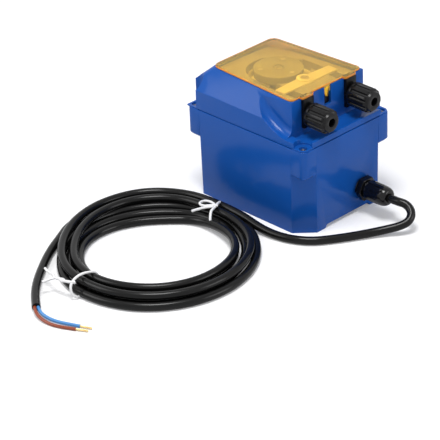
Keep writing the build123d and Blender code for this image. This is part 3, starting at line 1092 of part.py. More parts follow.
def coil_ties():
    """Two twist ties round the coil, each with its loose ends, and the notches they pass through."""
    for name, angle, ends in zip(("coil_tie_1", "coil_tie_2"), TIE_ANGLES, (TIE_1_ENDS, TIE_2_ENDS)):
        turn = radians(angle)
        outer = ray_circle(turn, *COIL_OUTER)
        inner = ray_circle(turn, *COIL_INNER)
        width = outer - inner + 2 * TIE_GAP
        height = COIL_H - TIE_NOTCH + TIE_GAP
        middle = (outer + inner) / 2
        section = RectangleRounded(width + 4 * TIE_R, height + 4 * TIE_R, TIE_CORNER + 2 * TIE_R)
        section -= RectangleRounded(width, height, TIE_CORNER)
        band = at(0, 0, -TIE_R) * extrude(section, 2 * TIE_R)
        centre_x, centre_y = coil_centre()
        place = at(centre_x + middle * cos(turn), centre_y + middle * sin(turn), height / 2 + 2 * TIE_R)
        tie = place * Rot(0, 0, angle) * Rot(90, 0, 0) * band
        notch = Box(width + 8, 2 * TIE_R + 2 * TIE_GAP, 2 * TIE_NOTCH)
        cut("cord_coil", at(place.position.X, place.position.Y, 0) * Rot(0, 0, angle) * notch)
        for points in ends:
            tie += wire(points, TIE_R, [TIE_BEND] * (len(points) - 2))
        keep(name, tie)


def coil_centre():
    """Middle between the two circles of the coil."""
    return (COIL_OUTER[0] + COIL_INNER[0]) / 2, (COIL_OUTER[1] + COIL_INNER[1]) / 2


def ray_circle(turn, x, y, radius):
    """Distance from the coil's middle to a circle along a direction."""
    centre_x, centre_y = coil_centre()
    dx, dy = centre_x - x, centre_y - y
    along = dx * cos(turn) + dy * sin(turn)
    return -along + sqrt(along ** 2 - dx ** 2 - dy ** 2 + radius ** 2)


def build():
    """Model every piece and write one file per node."""
    rear_housing()
    front_cover()
    cover_gasket()
    lid_screws()
    pump_head_insert()
    latch_catch()
    tube_retainer()
    squeeze_tube()
    rotor()
    for name, x in (("left", -PORT_X), ("right", PORT_X)):
        port(name, x)
        hose_nut(name, x)
    window_cover()
    gear_motor()
    cable_gland()
    inner_wiring()
    free_cord()
    os.makedirs("parts", exist_ok=True)
    for name, pieces in NODES.items():
        placed = [at(0, ORIGIN_SHIFT, 0) * piece for piece in pieces]
        group = placed[0] if len(placed) == 1 else Compound(children=placed)
        export_step(group, f"parts/{name}.step")
    print(len(NODES), "nodes, origin shift", ORIGIN_SHIFT)


build()
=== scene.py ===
"""Studio scene of a roller metering pump with its mains cord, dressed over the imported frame."""

from __future__ import annotations

import logging
import math
from dataclasses import dataclass, field
from enum import Enum

import bpy
from mathutils import Matrix, Vector


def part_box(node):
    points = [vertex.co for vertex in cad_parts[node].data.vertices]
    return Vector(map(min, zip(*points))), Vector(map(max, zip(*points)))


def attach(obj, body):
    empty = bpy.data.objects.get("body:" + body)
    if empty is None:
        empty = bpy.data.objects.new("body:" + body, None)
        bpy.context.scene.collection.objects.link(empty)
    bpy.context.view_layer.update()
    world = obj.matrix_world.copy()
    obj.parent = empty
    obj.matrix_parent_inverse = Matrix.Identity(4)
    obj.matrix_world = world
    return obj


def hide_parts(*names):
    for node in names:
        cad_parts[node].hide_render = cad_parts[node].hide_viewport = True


LOG = logging.getLogger("pump")
MM = 0.001
TOUCH = 0.001 * MM       # places closer than this are the same

Point = tuple[float, float, float]
Colour = tuple[float, float, float]


# ---------------------------------------------------------------------------
# Modelling helpers
# ---------------------------------------------------------------------------


class Smooth(Enum):
    """Steepest meeting of two faces that still looks smooth, in degrees."""

    ROUNDED = 34.0
    RIBBED = 40.0
    WIRE = 60.0


class Lay(Enum):
    """How a curve follows its points."""

    SMOOTH = "NURBS"
    STRAIGHT = "POLY"


def deselect_all() -> None:
    """Leave edit mode and clear the selection."""
    if bpy.context.object and bpy.context.object.mode != "OBJECT":
        bpy.ops.object.mode_set(mode="OBJECT")
    bpy.ops.object.select_all(action="DESELECT")


def activate(piece: bpy.types.Object) -> None:
    """Select one object only and make it active.

    Args:
        piece: The object to work on.
    """
    deselect_all()
    piece.select_set(True)
    bpy.context.view_layer.objects.active = piece


def link(name: str, data: bpy.types.ID) -> bpy.types.Object:
    """Put new data in the scene.

    Args:
        name: Name of the object.
        data: Its mesh, curve, camera or lamp.

    Returns:
        The object.
    """
    piece = bpy.data.objects.new(name, data)
    bpy.context.scene.collection.objects.link(piece)
    return piece


def clear_parts(piece: bpy.types.Object, kind: str) -> None:
    """Make an object's faces or edges ready for choosing, with none of them chosen.

    Args:
        piece: The object to work on.
        kind: What is to be chosen, FACE or EDGE.
    """
    activate(piece)
    bpy.ops.object.mode_set(mode="EDIT")
    bpy.ops.mesh.select_mode(type=kind)
    bpy.ops.mesh.select_all(action="DESELECT")
    bpy.ops.object.mode_set(mode="OBJECT")


def smooth_by_angle(piece: bpy.types.Object, limit: Smooth) -> None:
    """Shade an object smooth, and sharp where faces meet more steeply than an angle.

    Args:
        piece: The object to shade.
        limit: The steepest meeting that looks smooth.
    """
    activate(piece)
    bpy.ops.object.shade_smooth_by_angle(angle=math.radians(limit.value))


def dress(piece: bpy.types.Object, *materials: bpy.types.Material) -> None:
    """Put materials in an object's slots, in order.

    Args:
        piece: The object to dress.
        *materials: One material for each slot.
    """
    piece.data.materials.clear()
    for material in materials:
        piece.data.materials.append(material)


def round_curve(name: str, radius: float, sides: int, steps: int = 12) -> bpy.types.Curve:
    """Make an empty curve with a round section and closed ends.

    Args:
        name: Name of the curve.
        radius: Radius of its section, in metres.
        sides: Bevel resolution of that section.
        steps: Steps between two control points.

    Returns:
        The curve, without splines.
    """
    data = bpy.data.curves.new(name, "CURVE")
    data.dimensions = "3D"
    data.bevel_depth = radius
    data.bevel_resolution = sides
    data.resolution_u = steps
    data.use_fill_caps = True
    return data


def add_spline(data: bpy.types.Curve, points: list[Point], lay: Lay = Lay.SMOOTH) -> None:
    """Add one open spline to a curve.

    Args:
        data: The curve.
        points: Control points in the frame, in metres.
        lay: How the spline follows them.
    """
    spline = data.splines.new(lay.value)
    spline.points.add(len(points) - 1)
    for knot, point in zip(spline.points, points):
        knot.co = (*point, 1.0)
    if lay is Lay.SMOOTH:
        spline.order_u = 3
        spline.use_endpoint_u = True


def wire_mesh(data: bpy.types.Curve, material: bpy.types.Material) -> bpy.types.Object:
    """Turn a curve into a dressed mesh that stays with the housing.

    Args:
        data: The curve.
        material: Its finish.

    Returns:
        The mesh piece.
    """
    activate(link(data.name, data))
    bpy.ops.object.convert(target="MESH")
    piece = bpy.context.object
    dress(piece, material)
    smooth_by_angle(piece, Smooth.WIRE)
    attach(piece, "housing")
    return piece


def rounded_copy(node: str, name: str, width: float, segments: int) -> bpy.types.Object:
    """Copy a moulded part and round its edges.

    Args:
        node: The part of the frame to copy.
        name: Name of the new piece.
        width: Width of the rounding, in metres.
        segments: Steps across each rounded edge.

    Returns:
        The new piece, with merged faces and rounded edges.
    """
    coplanar = math.radians(0.4)
    sharp = math.radians(28.0)
    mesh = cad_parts[node].data.copy()
    mesh.name = name
    piece = link(name, mesh)
    activate(piece)
    bpy.ops.object.mode_set(mode="EDIT")
    bpy.ops.mesh.select_all(action="SELECT")
    bpy.ops.mesh.customdata_custom_splitnormals_clear()
    bpy.ops.mesh.remove_doubles(threshold=2 * TOUCH)
    bpy.ops.mesh.dissolve_limited(angle_limit=coplanar)
    bpy.ops.object.mode_set(mode="OBJECT")
    bevel = piece.modifiers.new("edges", "BEVEL")
    bevel.width = width
    bevel.segments = segments
    bevel.limit_method = "ANGLE"
    bevel.angle_limit = sharp
    bevel.use_clamp_overlap = True
    bevel.harden_normals = False
    bpy.ops.object.modifier_apply(modifier=bevel.name)
    smooth_by_angle(piece, Smooth.ROUNDED)
    return piece


# ---------------------------------------------------------------------------
# Shader groups and finishes
# ---------------------------------------------------------------------------


def node_of(tree: bpy.types.NodeTree, kind: str) -> bpy.types.Node:
    """Find the first node of a kind in a tree.

    Args:
        tree: The node tree.
        kind: The node's type name.

    Returns:
        That node.
    """
    return next(node for node in tree.nodes if node.bl_idname == kind)


def math_node(tree: bpy.types.NodeTree, operation: str, first: bpy.types.NodeSocket,
              second: bpy.types.NodeSocket | float, clamp: bool = False) -> bpy.types.NodeSocket:
    """Add a math node.

    Args:
        tree: The node tree.
        operation: Name of the operation, in capitals.
        first: The first value.
        second: The second value, or a plain number.
        clamp: Keeps the result between 0 and 1.

    Returns:
        The socket with the result.
    """
    node = tree.nodes.new("ShaderNodeMath")
    node.operation = operation
    node.use_clamp = clamp
    tree.links.new(first, node.inputs[0])
    if isinstance(second, float):
        node.inputs[1].default_value = second
    else:
        tree.links.new(second, node.inputs[1])
    return node.outputs["Value"]


def noise_node(tree: bpy.types.NodeTree, detail: float) -> bpy.types.Node:
    """Add a noise texture that is fixed to the piece.

    Args:
        tree: The node tree.
        detail: How fine the noise breaks up.

    Returns:
        The noise node.
    """
    place = tree.nodes.new("ShaderNodeTexCoord")
    noise = tree.nodes.new("ShaderNodeTexNoise")
    noise.inputs["Detail"].default_value = detail
    tree.links.new(place.outputs["Object"], noise.inputs["Vector"])
    return noise


@dataclass(frozen=True)
class MouldedSurface:
    """Shader group of a moulded part: fine grain, and slow unevenness of colour and gloss."""

    name: str = "Moulded surface"
    grain_detail: float = 3.0
    slow_scale: float = 28.0
    slow_detail: float = 4.0
    inputs: tuple[tuple[str, str], ...] = (
        ("Colour", "NodeSocketColor"), ("Grain scale", "NodeSocketFloat"), ("Grain depth", "NodeSocketFloat"),
        ("Mottle", "NodeSocketFloat"), ("Gloss", "NodeSocketFloat"))
    outputs: tuple[tuple[str, str], ...] = (
        ("Colour", "NodeSocketColor"), ("Roughness", "NodeSocketFloat"), ("Height", "NodeSocketFloat"))

    def build(self) -> None:
        """Make the group, with colour, roughness and bump height outputs."""
        group = bpy.data.node_groups.new(self.name, "ShaderNodeTree")
        for side, sockets in (("INPUT", self.inputs), ("OUTPUT", self.outputs)):
            for label, kind in sockets:
                group.interface.new_socket(name=label, in_out=side, socket_type=kind)
        source = group.nodes.new("NodeGroupInput")
        sink = group.nodes.new("NodeGroupOutput")
        grain = noise_node(group, self.grain_detail)
        group.links.new(source.outputs["Grain scale"], grain.inputs["Scale"])
        height = math_node(group, "MULTIPLY", grain.outputs["Fac"], source.outputs["Grain depth"])
        slow = noise_node(group, self.slow_detail)
        slow.inputs["Scale"].default_value = self.slow_scale
        centred = math_node(group, "SUBTRACT", slow.outputs["Fac"], 0.5)
        swing = math_node(group, "MULTIPLY", centred, source.outputs["Mottle"])
        tint = group.nodes.new("ShaderNodeVectorMath")
        tint.operation = "SCALE"
        group.links.new(source.outputs["Colour"], tint.inputs["Vector"])
        group.links.new(math_node(group, "ADD", swing, 1.0), tint.inputs["Scale"])
        rough = math_node(group, "ADD", source.outputs["Gloss"], swing, clamp=True)
        group.links.new(tint.outputs["Vector"], sink.inputs["Colour"])
        group.links.new(rough, sink.inputs["Roughness"])
        group.links.new(height, sink.inputs["Height"])

    def material(self, name: str, settings: dict[str, float | Colour]
                 ) -> tuple[bpy.types.Material, bpy.types.Node, bpy.types.Node]:
        """Make a material whose colour and roughness come from the group.

        Args:
            name: Name of the material.
            settings: The group's inputs by name.

        Returns:
            The material, its shader node and its group node.
        """
        material = bpy.data.materials.new(name)
        material.use_nodes = True
        tree = material.node_tree
        shader = node_of(tree, "ShaderNodeBsdfPrincipled")
        surface = tree.nodes.new("ShaderNodeGroup")
        surface.node_tree = bpy.data.node_groups[self.name]
        for label, value in settings.items():
            surface.inputs[label].default_value = value if isinstance(value, float) else (*value, 1.0)
        tree.links.new(surface.outputs["Colour"], shader.inputs["Base Color"])
        tree.links.new(surface.outputs["Roughness"], shader.inputs["Roughness"])
        return material, shader, surface


@dataclass(frozen=True)
class Moulding:
    """Finish of a moulded plastic or rubber part."""

    name: str
    colour: Colour
    roughness: float = 0.4
    grain_scale: float = 900.0
    grain_depth: float = 1.0
    bump: float = 0.02 * MM
    mottle: float = 0.06
    specular: float = 0.5

    def build(self) -> bpy.types.Material:
        """Make the material.

        Returns:
            The material, with its moulded surface group and fine bump.
        """
        material, shader, surface = MouldedSurface().material(self.name, {
            "Colour": self.colour, "Grain scale": self.grain_scale, "Grain depth": self.grain_depth,
            "Mottle": self.mottle, "Gloss": self.roughness})
        tree = material.node_tree
        bump = tree.nodes.new("ShaderNodeBump")
        bump.inputs["Distance"].default_value = self.bump
        bump.inputs["Strength"].default_value = 1.0
        tree.links.new(surface.outputs["Height"], bump.inputs["Height"])
        tree.links.new(bump.outputs["Normal"], shader.inputs["Normal"])
        shader.inputs["Specular IOR Level"].default_value = self.specular
        return material


@dataclass(frozen=True)
class Metal:
    """Finish of a plated, turned or drawn metal part."""

    name: str
    colour: Colour
    roughness: float = 0.3
    mottle: float = 0.2

    def build(self) -> bpy.types.Material:
        """Make the material.

        Returns:
            The material, with slow unevenness of its gloss.
        """
        material, shader, _ = MouldedSurface().material(self.name, {
            "Colour": self.colour, "Mottle": self.mottle, "Gloss": self.roughness})
        shader.inputs["Metallic"].default_value = 1.0
        return material


@dataclass(frozen=True)
class TintedGlass:
    """Finish of a clear tinted moulding."""

    name: str
    colour: Colour
    roughness: float = 0.08
    transmission: float = 0.9
    ior: float = 1.2

    def build(self) -> bpy.types.Material:
        """Make the material.

        Returns:
            The material, clear and tinted all through.
        """
        material = bpy.data.materials.new(self.name)
        material.use_nodes = True
        shader = node_of(material.node_tree, "ShaderNodeBsdfPrincipled")
        shader.inputs["Base Color"].default_value = (*self.colour, 1.0)
        shader.inputs["Roughness"].default_value = self.roughness
        shader.inputs["Transmission Weight"].default_value = self.transmission
        shader.inputs["IOR"].default_value = self.ior
        return material


class Finish(Enum):
    """Every finish of the pump."""

    HOUSING = Moulding("housing blue", (0.006, 0.072, 0.33), 0.17, grain_scale=1400.0, bump=0.008 * MM,
                       mottle=0.10, specular=0.17)
    BLACK = Moulding("fitting black", (0.005, 0.005, 0.0055), 0.26, grain_scale=1500.0, bump=0.01 * MM,
                     mottle=0.2, specular=0.20)
    GLAND = Moulding("gland black", (0.003, 0.003, 0.0035), 0.12, grain_scale=1200.0, grain_depth=0.5,
                     bump=0.01 * MM, mottle=0.1, specular=0.30)
    SHEATH = Moulding("cord sheath", (0.004, 0.004, 0.004), 0.20, grain_scale=1500.0, bump=0.004 * MM,
                      mottle=0.2, specular=0.20)
    WHITE = Moulding("head white", (0.86, 0.86, 0.80), 0.35)
    DECK = Moulding("head grey", (0.42, 0.41, 0.40), 0.4)
    GREY = Moulding("carrier grey", (0.36, 0.36, 0.32), 0.14)
    NATURAL = Moulding("gear natural", (0.62, 0.60, 0.50), 0.4)
    TUBE = Moulding("pump tube", (0.86, 0.82, 0.62), 0.3)
    RUBBER = Moulding("seal rubber", (0.02, 0.02, 0.02), 0.7)
    BROWN = Moulding("core brown", (0.24, 0.042, 0.012), 0.30)
    BLUE = Moulding("core blue", (0.065, 0.25, 0.58), 0.30)
    TIE = Moulding("tie white", (0.74, 0.74, 0.75), 0.35)
    FERRITE = Moulding("magnet ferrite", (0.05, 0.05, 0.05), 0.5)
    STEEL = Metal("zinc plated steel", (0.60, 0.60, 0.60), 0.32)
    BRONZE = Metal("sintered bronze", (0.52, 0.36, 0.18), 0.5)
    COPPER = Metal("copper", (0.75, 0.40, 0.22), 0.35)
    STRANDS = Metal("bare strands", (0.78, 0.58, 0.26), 0.35)
    WINDOW = TintedGlass("window amber", (0.95, 0.73, 0.27))
    # painted glow: the window's side faces get opaque orange, standing in for light the amber pipes to its
    # edge
    WINDOW_EDGE_GLOW = Moulding("window edge painted glow", (0.66, 0.23, 0.02), 0.25, grain_scale=400.0, grain_depth=0.2,
                          bump=0.01 * MM, mottle=0.1)
    # painted glow: the latch tongue's amber tint made opaque bright yellow for the light it catches
    LATCH_GLOW = Moulding("latch tongue painted glow", (0.90, 0.66, 0.03), 0.25, grain_scale=400.0, grain_depth=0.2,
                     bump=0.01 * MM, mottle=0.1)


Finishes = dict[Finish, bpy.types.Material]


# ---------------------------------------------------------------------------
# Cord
# ---------------------------------------------------------------------------


@dataclass
class Laid:
    """Something given in millimetres about the middle of the housing's footprint."""

    shift_y: float

    def place(self, point: Point) -> Point:
        """Turn a point in millimetres about the housing's middle into metres in the frame.

        Args:
            point: The point to place.

        Returns:
            The same point in the frame.
        """
        return (point[0] * MM, point[1] * MM + self.shift_y, point[2] * MM)


@dataclass
class Ties(Laid):
    """Two white wire ties, each a band round the coil with its loose ends."""

    radius: float = 1.0 * MM
    band_1: list[Point] = field(default_factory=lambda: [
        (-64.6, 11.5, 12.4), (-63.3, 10.0, 6.0), (-65.0, 8.8, 1.2), (-75.0, 5.0, 1.1), (-84.6, 0.5, 1.2),
        (-86.3, 0.3, 6.0), (-84.0, 2.5, 10.6), (-80.0, 5.6, 13.4), (-75.0, 6.5, 14.0), (-68.5, 9.5, 14.2),
        (-64.6, 11.5, 12.4)])
    loop_1: list[Point] = field(default_factory=lambda: [
        (-73.0, 7.5, 14.2), (-71.0, 13.0, 14.6), (-73.5, 19.5, 14.6), (-79.5, 19.5, 14.6),
        (-80.5, 13.5, 14.6), (-75.5, 9.8, 14.8), (-72.5, 5.6, 14.6)])
    end_1: list[Point] = field(default_factory=lambda: [
        (-75.6, 8.0, 14.2), (-80.5, 11.5, 14.4), (-86.0, 13.5, 14.4), (-91.0, 15.0, 14.2)])
    band_2: list[Point] = field(default_factory=lambda: [
        (-197.5, 4.0, 2.0), (-196.8, 4.2, 7.0), (-199.5, 4.6, 12.0), (-205.0, 5.0, 14.2),
        (-211.0, 6.4, 14.8), (-217.5, 6.2, 14.4), (-223.0, 5.0, 12.5), (-225.0, 3.8, 9.0),
        (-225.0, 2.4, 4.5), (-221.5, 0.8, 1.2), (-212.0, 1.5, 1.1), (-203.0, 2.8, 1.1),
        (-197.5, 4.0, 2.0)])
    end_2: list[Point] = field(default_factory=lambda: [
        (-220.5, 3.5, 13.0), (-226.0, 8.5, 13.4), (-222.5, 13.5, 12.6), (-226.5, 18.5, 12.6),
        (-223.0, 24.0, 12.2), (-222.3, 31.0, 11.6), (-219.9, 37.2, 11.2)])
    other_end_2: list[Point] = field(default_factory=lambda: [
        (-220.5, 3.5, 12.2), (-222.0, 9.0, 12.2), (-226.5, 13.0, 12.8), (-222.5, 18.5, 12.0),
        (-227.5, 22.5, 11.4), (-233.6, 25.0, 10.4)])

    def build(self, finishes: Finishes) -> list[bpy.types.Object]:
        """Make both ties.

        Args:
            finishes: The pump's materials.

        Returns:
            The ties.
        """
        groups = {"coil_tie_1": (self.band_1, self.loop_1, self.end_1),
                  "coil_tie_2": (self.band_2, self.end_2, self.other_end_2)}
        pieces = []
        for node, routes in groups.items():
            data = round_curve(node.removeprefix("coil_"), self.radius, 4, 8)
            for route in routes:
                add_spline(data, [self.place(point) for point in route])
            piece = wire_mesh(data, finishes[Finish.TIE])
            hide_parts(node)
            pieces.append(piece)
        return pieces


@dataclass
class Cord(Laid):
    """Mains cord: a lead from the gland, a tied coil, and a stripped end."""

    diameter: float = 6.6
    exit: Point = (16.5, -89.0, 19.3)
    lead: list[Point] = field(default_factory=lambda: [
        (16.5, -89.0, 19.3), (16.5, -97.5, 19.3), (18.4, -102.6, 18.9), (18.8, -107.6, 16.6),
        (16.3, -111.9, 13.1), (10.9, -112.9, 9.5), (4.5, -108.9, 6.9), (-3.0, -102.2, 4.9),
        (-12.8, -95.4, 3.6), (-25.5, -88.0, 3.3), (-38.5, -80.0, 3.3), (-50.0, -71.5, 3.3),
        (-58.0, -59.0, 3.3), (-62.0, -43.5, 3.3), (-63.0, -28.0, 4.6), (-63.5, -12.0, 8.6)])
    centre: tuple[float, float] = (-139.0, 4.0)
    turns: list[list[Point]] = field(default_factory=lambda: [
        [(5, 73.6, 9.8), (45, 86.0, 8.6), (133, 70.0, 9.0), (178, 72.0, 9.0), (215, 74.0, 8.6),
         (324, 69.9, 9.0)],
        [(5, 66.8, 9.2), (45, 76.0, 8.4), (133, 61.0, 9.0), (178, 63.5, 9.0), (215, 62.5, 9.0),
         (310, 60.0, 9.1), (345, 53.6, 7.4)],
        [(5, 55.5, 3.4), (45, 48.0, 3.3), (133, 57.0, 3.3), (178, 58.5, 3.3), (215, 56.0, 3.3),
         (324, 58.5, 3.3)],
        [(5, 63.0, 3.3), (45, 59.5, 3.3), (133, 63.6, 3.3), (178, 69.0, 3.3), (215, 70.0, 3.3),
         (324, 66.0, 3.3)],
        [(5, 70.2, 3.3), (45, 71.0, 3.3), (133, 70.0, 3.3), (178, 77.6, 3.3), (215, 80.0, 3.3),
         (324, 74.5, 3.3)],
        [(5, 77.5, 3.3), (45, 83.0, 3.3), (100, 80.0, 3.3)]])
    step: float = 24.0
    tail: list[Point] = field(default_factory=lambda: [
        (-175.0, 73.0, 3.3), (-193.0, 63.5, 3.3), (-211.0, 51.0, 3.3), (-229.0, 37.0, 3.3),
        (-243.5, 22.5, 3.3), (-252.5, 10.5, 3.3)])
    brown: list[Point] = field(default_factory=lambda: [
        (-252.9, 12.1, 3.4), (-256.8, 6.9, 3.1), (-259.6, -1.0, 2.1), (-259.8, -11.0, 1.3),
        (-256.9, -21.0, 1.3), (-251.7, -31.0, 1.3)])
    blue: list[Point] = field(default_factory=lambda: [
        (-250.9, 10.6, 3.2), (-254.4, 5.2, 3.0), (-255.7, -2.0, 2.1), (-254.3, -11.5, 1.3),
        (-251.0, -20.8, 1.3), (-246.9, -30.1, 1.3)])
    core_diameter: float = 2.5
    strand_count: int = 7
    strand_steps: int = 11
    strand_length: float = 10.0
    strand_start: float = -0.8
    strand_radius: float = 0.32 * MM
    strand_spread: float = 0.50
    strand_twist: float = 0.13

    def stations(self) -> list[Point]:
        """Lay the coil's stations end to end.

        Returns:
            Angle, radius and height of each station, with the angle growing from turn to turn.
        """
        return [(angle + 360.0 * index, radius, height)
                for index, turn in enumerate(self.turns) for angle, radius, height in turn]

    def coil(self) -> list[Point]:
        """Work out the coil's points, easing from each station to the next.

        Returns:
            Points along the turns, evenly stepped.
        """
        stations = self.stations()
        start, end = stations[0][0], stations[-1][0]
        count = int((end - start) / self.step)
        swell = 1.0 / math.cos(math.radians(self.step / 2))
        points = []
        for index in range(count + 1):
            angle = start + (end - start) * index / count
            before = max((s for s in stations if s[0] <= angle + TOUCH), key=lambda s: s[0])
            after = min((s for s in stations if s[0] >= angle - TOUCH), key=lambda s: s[0])
            span = after[0] - before[0]
            share = (angle - before[0]) / span if span else 0.0
            share = share * share * (3.0 - 2.0 * share)
            radius = (before[1] + (after[1] - before[1]) * share) * swell
            height = before[2] + (after[2] - before[2]) * share
            turn = math.radians(angle)
            points.append((self.centre[0] + radius * math.cos(turn), self.centre[1] + radius * math.sin(turn),
                           height))
        return points

    def tube(self, name: str, points: list[Point], diameter: float,
             material: bpy.types.Material) -> bpy.types.Object:
        """Make a round cord of one smooth spline.

        Args:
            name: Name of the piece.
            points: Control points in millimetres about the housing's middle.
            diameter: Outside diameter in millimetres.
            material: Its finish.

        Returns:
            The curve object.
        """
        data = round_curve(name, diameter * MM / 2, 6, 10)
        add_spline(data, [self.place(point) for point in points])
        piece = link(name, data)
        dress(piece, material)
        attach(piece, "housing")
        return piece

    def length_of(self, piece: bpy.types.Object) -> float:
        """Measure a cord's centreline.

        Args:
            piece: The curve object.

        Returns:
            Its length in metres.
        """
        data = piece.data.copy()
        data.bevel_depth = 0.0
        data.use_fill_caps = False
        probe = bpy.data.objects.new("probe", data)
        mesh = bpy.data.meshes.new_from_object(probe)
        places = [vertex.co.copy() for vertex in mesh.vertices]
        bpy.data.objects.remove(probe)
        bpy.data.curves.remove(data)
        bpy.data.meshes.remove(mesh)
        return sum((b - a).length for a, b in zip(places, places[1:]))

    def strands(self, name: str, route: list[Point], material: bpy.types.Material) -> bpy.types.Object:
        """Make the bare twisted strands at the end of a core.

        Args:
            name: Name of the piece.
            route: The core's control points.
            material: The wire's finish.

        Returns:
            One mesh of strands twisted round a straight one.
        """
        end = Vector(route[-1])
        along = (end - Vector(route[-2])).normalized()
        side = along.cross(Vector((0, 0, 1))).normalized()
        up = side.cross(along)
        data = round_curve(name, self.strand_radius, 2)
        for index in range(self.strand_count):
            spread = self.strand_spread if index else 0.0
            points = []
            for step in range(self.strand_steps + 1):
                travel = self.strand_start + self.strand_length * step / self.strand_steps
                turn = 2 * math.pi * (index / self.strand_count + self.strand_twist * step)
                offset = (side * math.cos(turn) + up * math.sin(turn)) * spread
                points.append(self.place(tuple(end + along * travel + offset)))
            add_spline(data, points, Lay.STRAIGHT)
        return wire_mesh(data, material)

    def build(self, finishes: Finishes) -> list[bpy.types.Object]:
        """Make the cord and what is on it.

        Args:
            finishes: The pump's materials.

        Returns:
            Every piece of the cord.
        """
        cable = self.tube("cord", self.lead + self.coil() + self.tail, self.diameter, finishes[Finish.SHEATH])
        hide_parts("cord_lead", "cord_coil", "cord_tail")
        cores, wires = [], []
        ends = (("brown", self.brown, Finish.BROWN), ("blue", self.blue, Finish.BLUE))
        for colour, route, finish in ends:
            core = self.tube(f"core_{colour}", route, self.core_diameter, finishes[finish])
            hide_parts(f"{colour}_core")
            cores.append(core)
        for colour, route, _ in ends:
            wire = self.strands(f"strands_{colour}", route, finishes[Finish.STRANDS])
            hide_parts(f"{colour}_strands")
            wires.append(wire)
        ties = Ties(self.shift_y).build(finishes)
        length = self.length_of(cable)
        LOG.info("cord length %.3f m", length)
        self.place(self.exit)
        return [cable, *cores, *wires, *ties]


# ---------------------------------------------------------------------------
# Pump
# ---------------------------------------------------------------------------


@dataclass(frozen=True)
class Rounded:
    """A moulded part that keeps its shape and gets soft edges."""

    node: str
    name: str
    body: str
    slot: str
    finish: Finish
    rounding: float = 0.3 * MM
    segments: int = 2

    def build(self, finishes: Finishes) -> None:
        """Round the part, dress it and let it stand for its node.

        Args:
            finishes: The pump's materials.
        """
        piece = rounded_copy(self.node, self.name, self.rounding, self.segments)
        dress(piece, finishes[self.finish])
        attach(piece, self.body)
        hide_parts(self.node)
        LOG.info("%s has %d faces", piece.name, len(piece.data.polygons))


@dataclass(frozen=True)
class Mouldings:
    """The pump's shells and fittings with soft edges."""

    shell_round: float = 0.7 * MM
    shell_segments: int = 3

    def parts(self) -> list[Rounded]:
        """List the moulded parts.

        Returns:
            The shells, then the fittings.
        """
        shell = {"rounding": self.shell_round, "segments": self.shell_segments}
        return [
            Rounded("rear_housing", "housing_shell", "housing", "blue_plastic", Finish.HOUSING, **shell),
            Rounded("front_cover", "cover_shell", "housing", "blue_plastic", Finish.HOUSING, **shell),
            Rounded("left_hose_nut", "nut_left", "left_nut", "black_plastic", Finish.BLACK),
            Rounded("right_hose_nut", "nut_right", "right_nut", "black_plastic", Finish.BLACK),
            Rounded("left_connector", "port_left", "housing", "black_plastic", Finish.BLACK),
            Rounded("right_connector", "port_right", "housing", "black_plastic", Finish.BLACK),
            Rounded("gland_body", "gland_hexagon", "housing", "black_plastic", Finish.GLAND),
            Rounded("roller_carrier", "rotor_disc", "rotor", "white_plastic", Finish.GREY),
            Rounded("tube_retainer", "retainer_plate", "housing", "white_plastic", Finish.WHITE),
        ]

    def build(self, finishes: Finishes) -> None:
        """Make every moulded part.

        Args:
            finishes: The pump's materials.
        """
        for part in self.parts():
            part.build(finishes)


@dataclass
class Window:
    """Tinted cover over the roller head; its side faces carry a painted orange glow of light piped through
    the amber, and its latch tongue a painted bright yellow glow.
    """

    rounding: float = 0.3 * MM
    segments: int = 2
    plate: float = 1.8 * MM
    rib: float = 1.6 * MM
    flat: float = 0.75
    under_rib: float = 0.10 * MM
    under_plate: float = 0.05 * MM

    def build(self, finishes: Finishes) -> None:
        """Make the window, dress its plate, and paint the glow on its side faces and latch tongue.

        Args:
            finishes: The pump's materials.
        """
        piece = rounded_copy("window_cover", "window_pane", self.rounding, self.segments)
        slots = (Finish.WINDOW, Finish.WINDOW_EDGE_GLOW, Finish.LATCH_GLOW)
        dress(piece, *(finishes[finish] for finish in slots))
        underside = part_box("window_cover")[1][2] - self.plate
        for face in piece.data.polygons:
            # faces below the plate and rib are the latch tongue: amber tint with a painted bright yellow glow
            if face.center.z < underside - self.rib - self.under_rib:
                face.material_index = slots.index(Finish.LATCH_GLOW)
            # side faces of the plate: opaque orange painted edge glow
            elif face.center.z > underside - self.under_plate and abs(face.normal.z) < self.flat:
                face.material_index = slots.index(Finish.WINDOW_EDGE_GLOW)
        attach(piece, "window")
        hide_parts("window_cover")
        LOG.info("%s has %d faces", piece.name, len(piece.data.polygons))


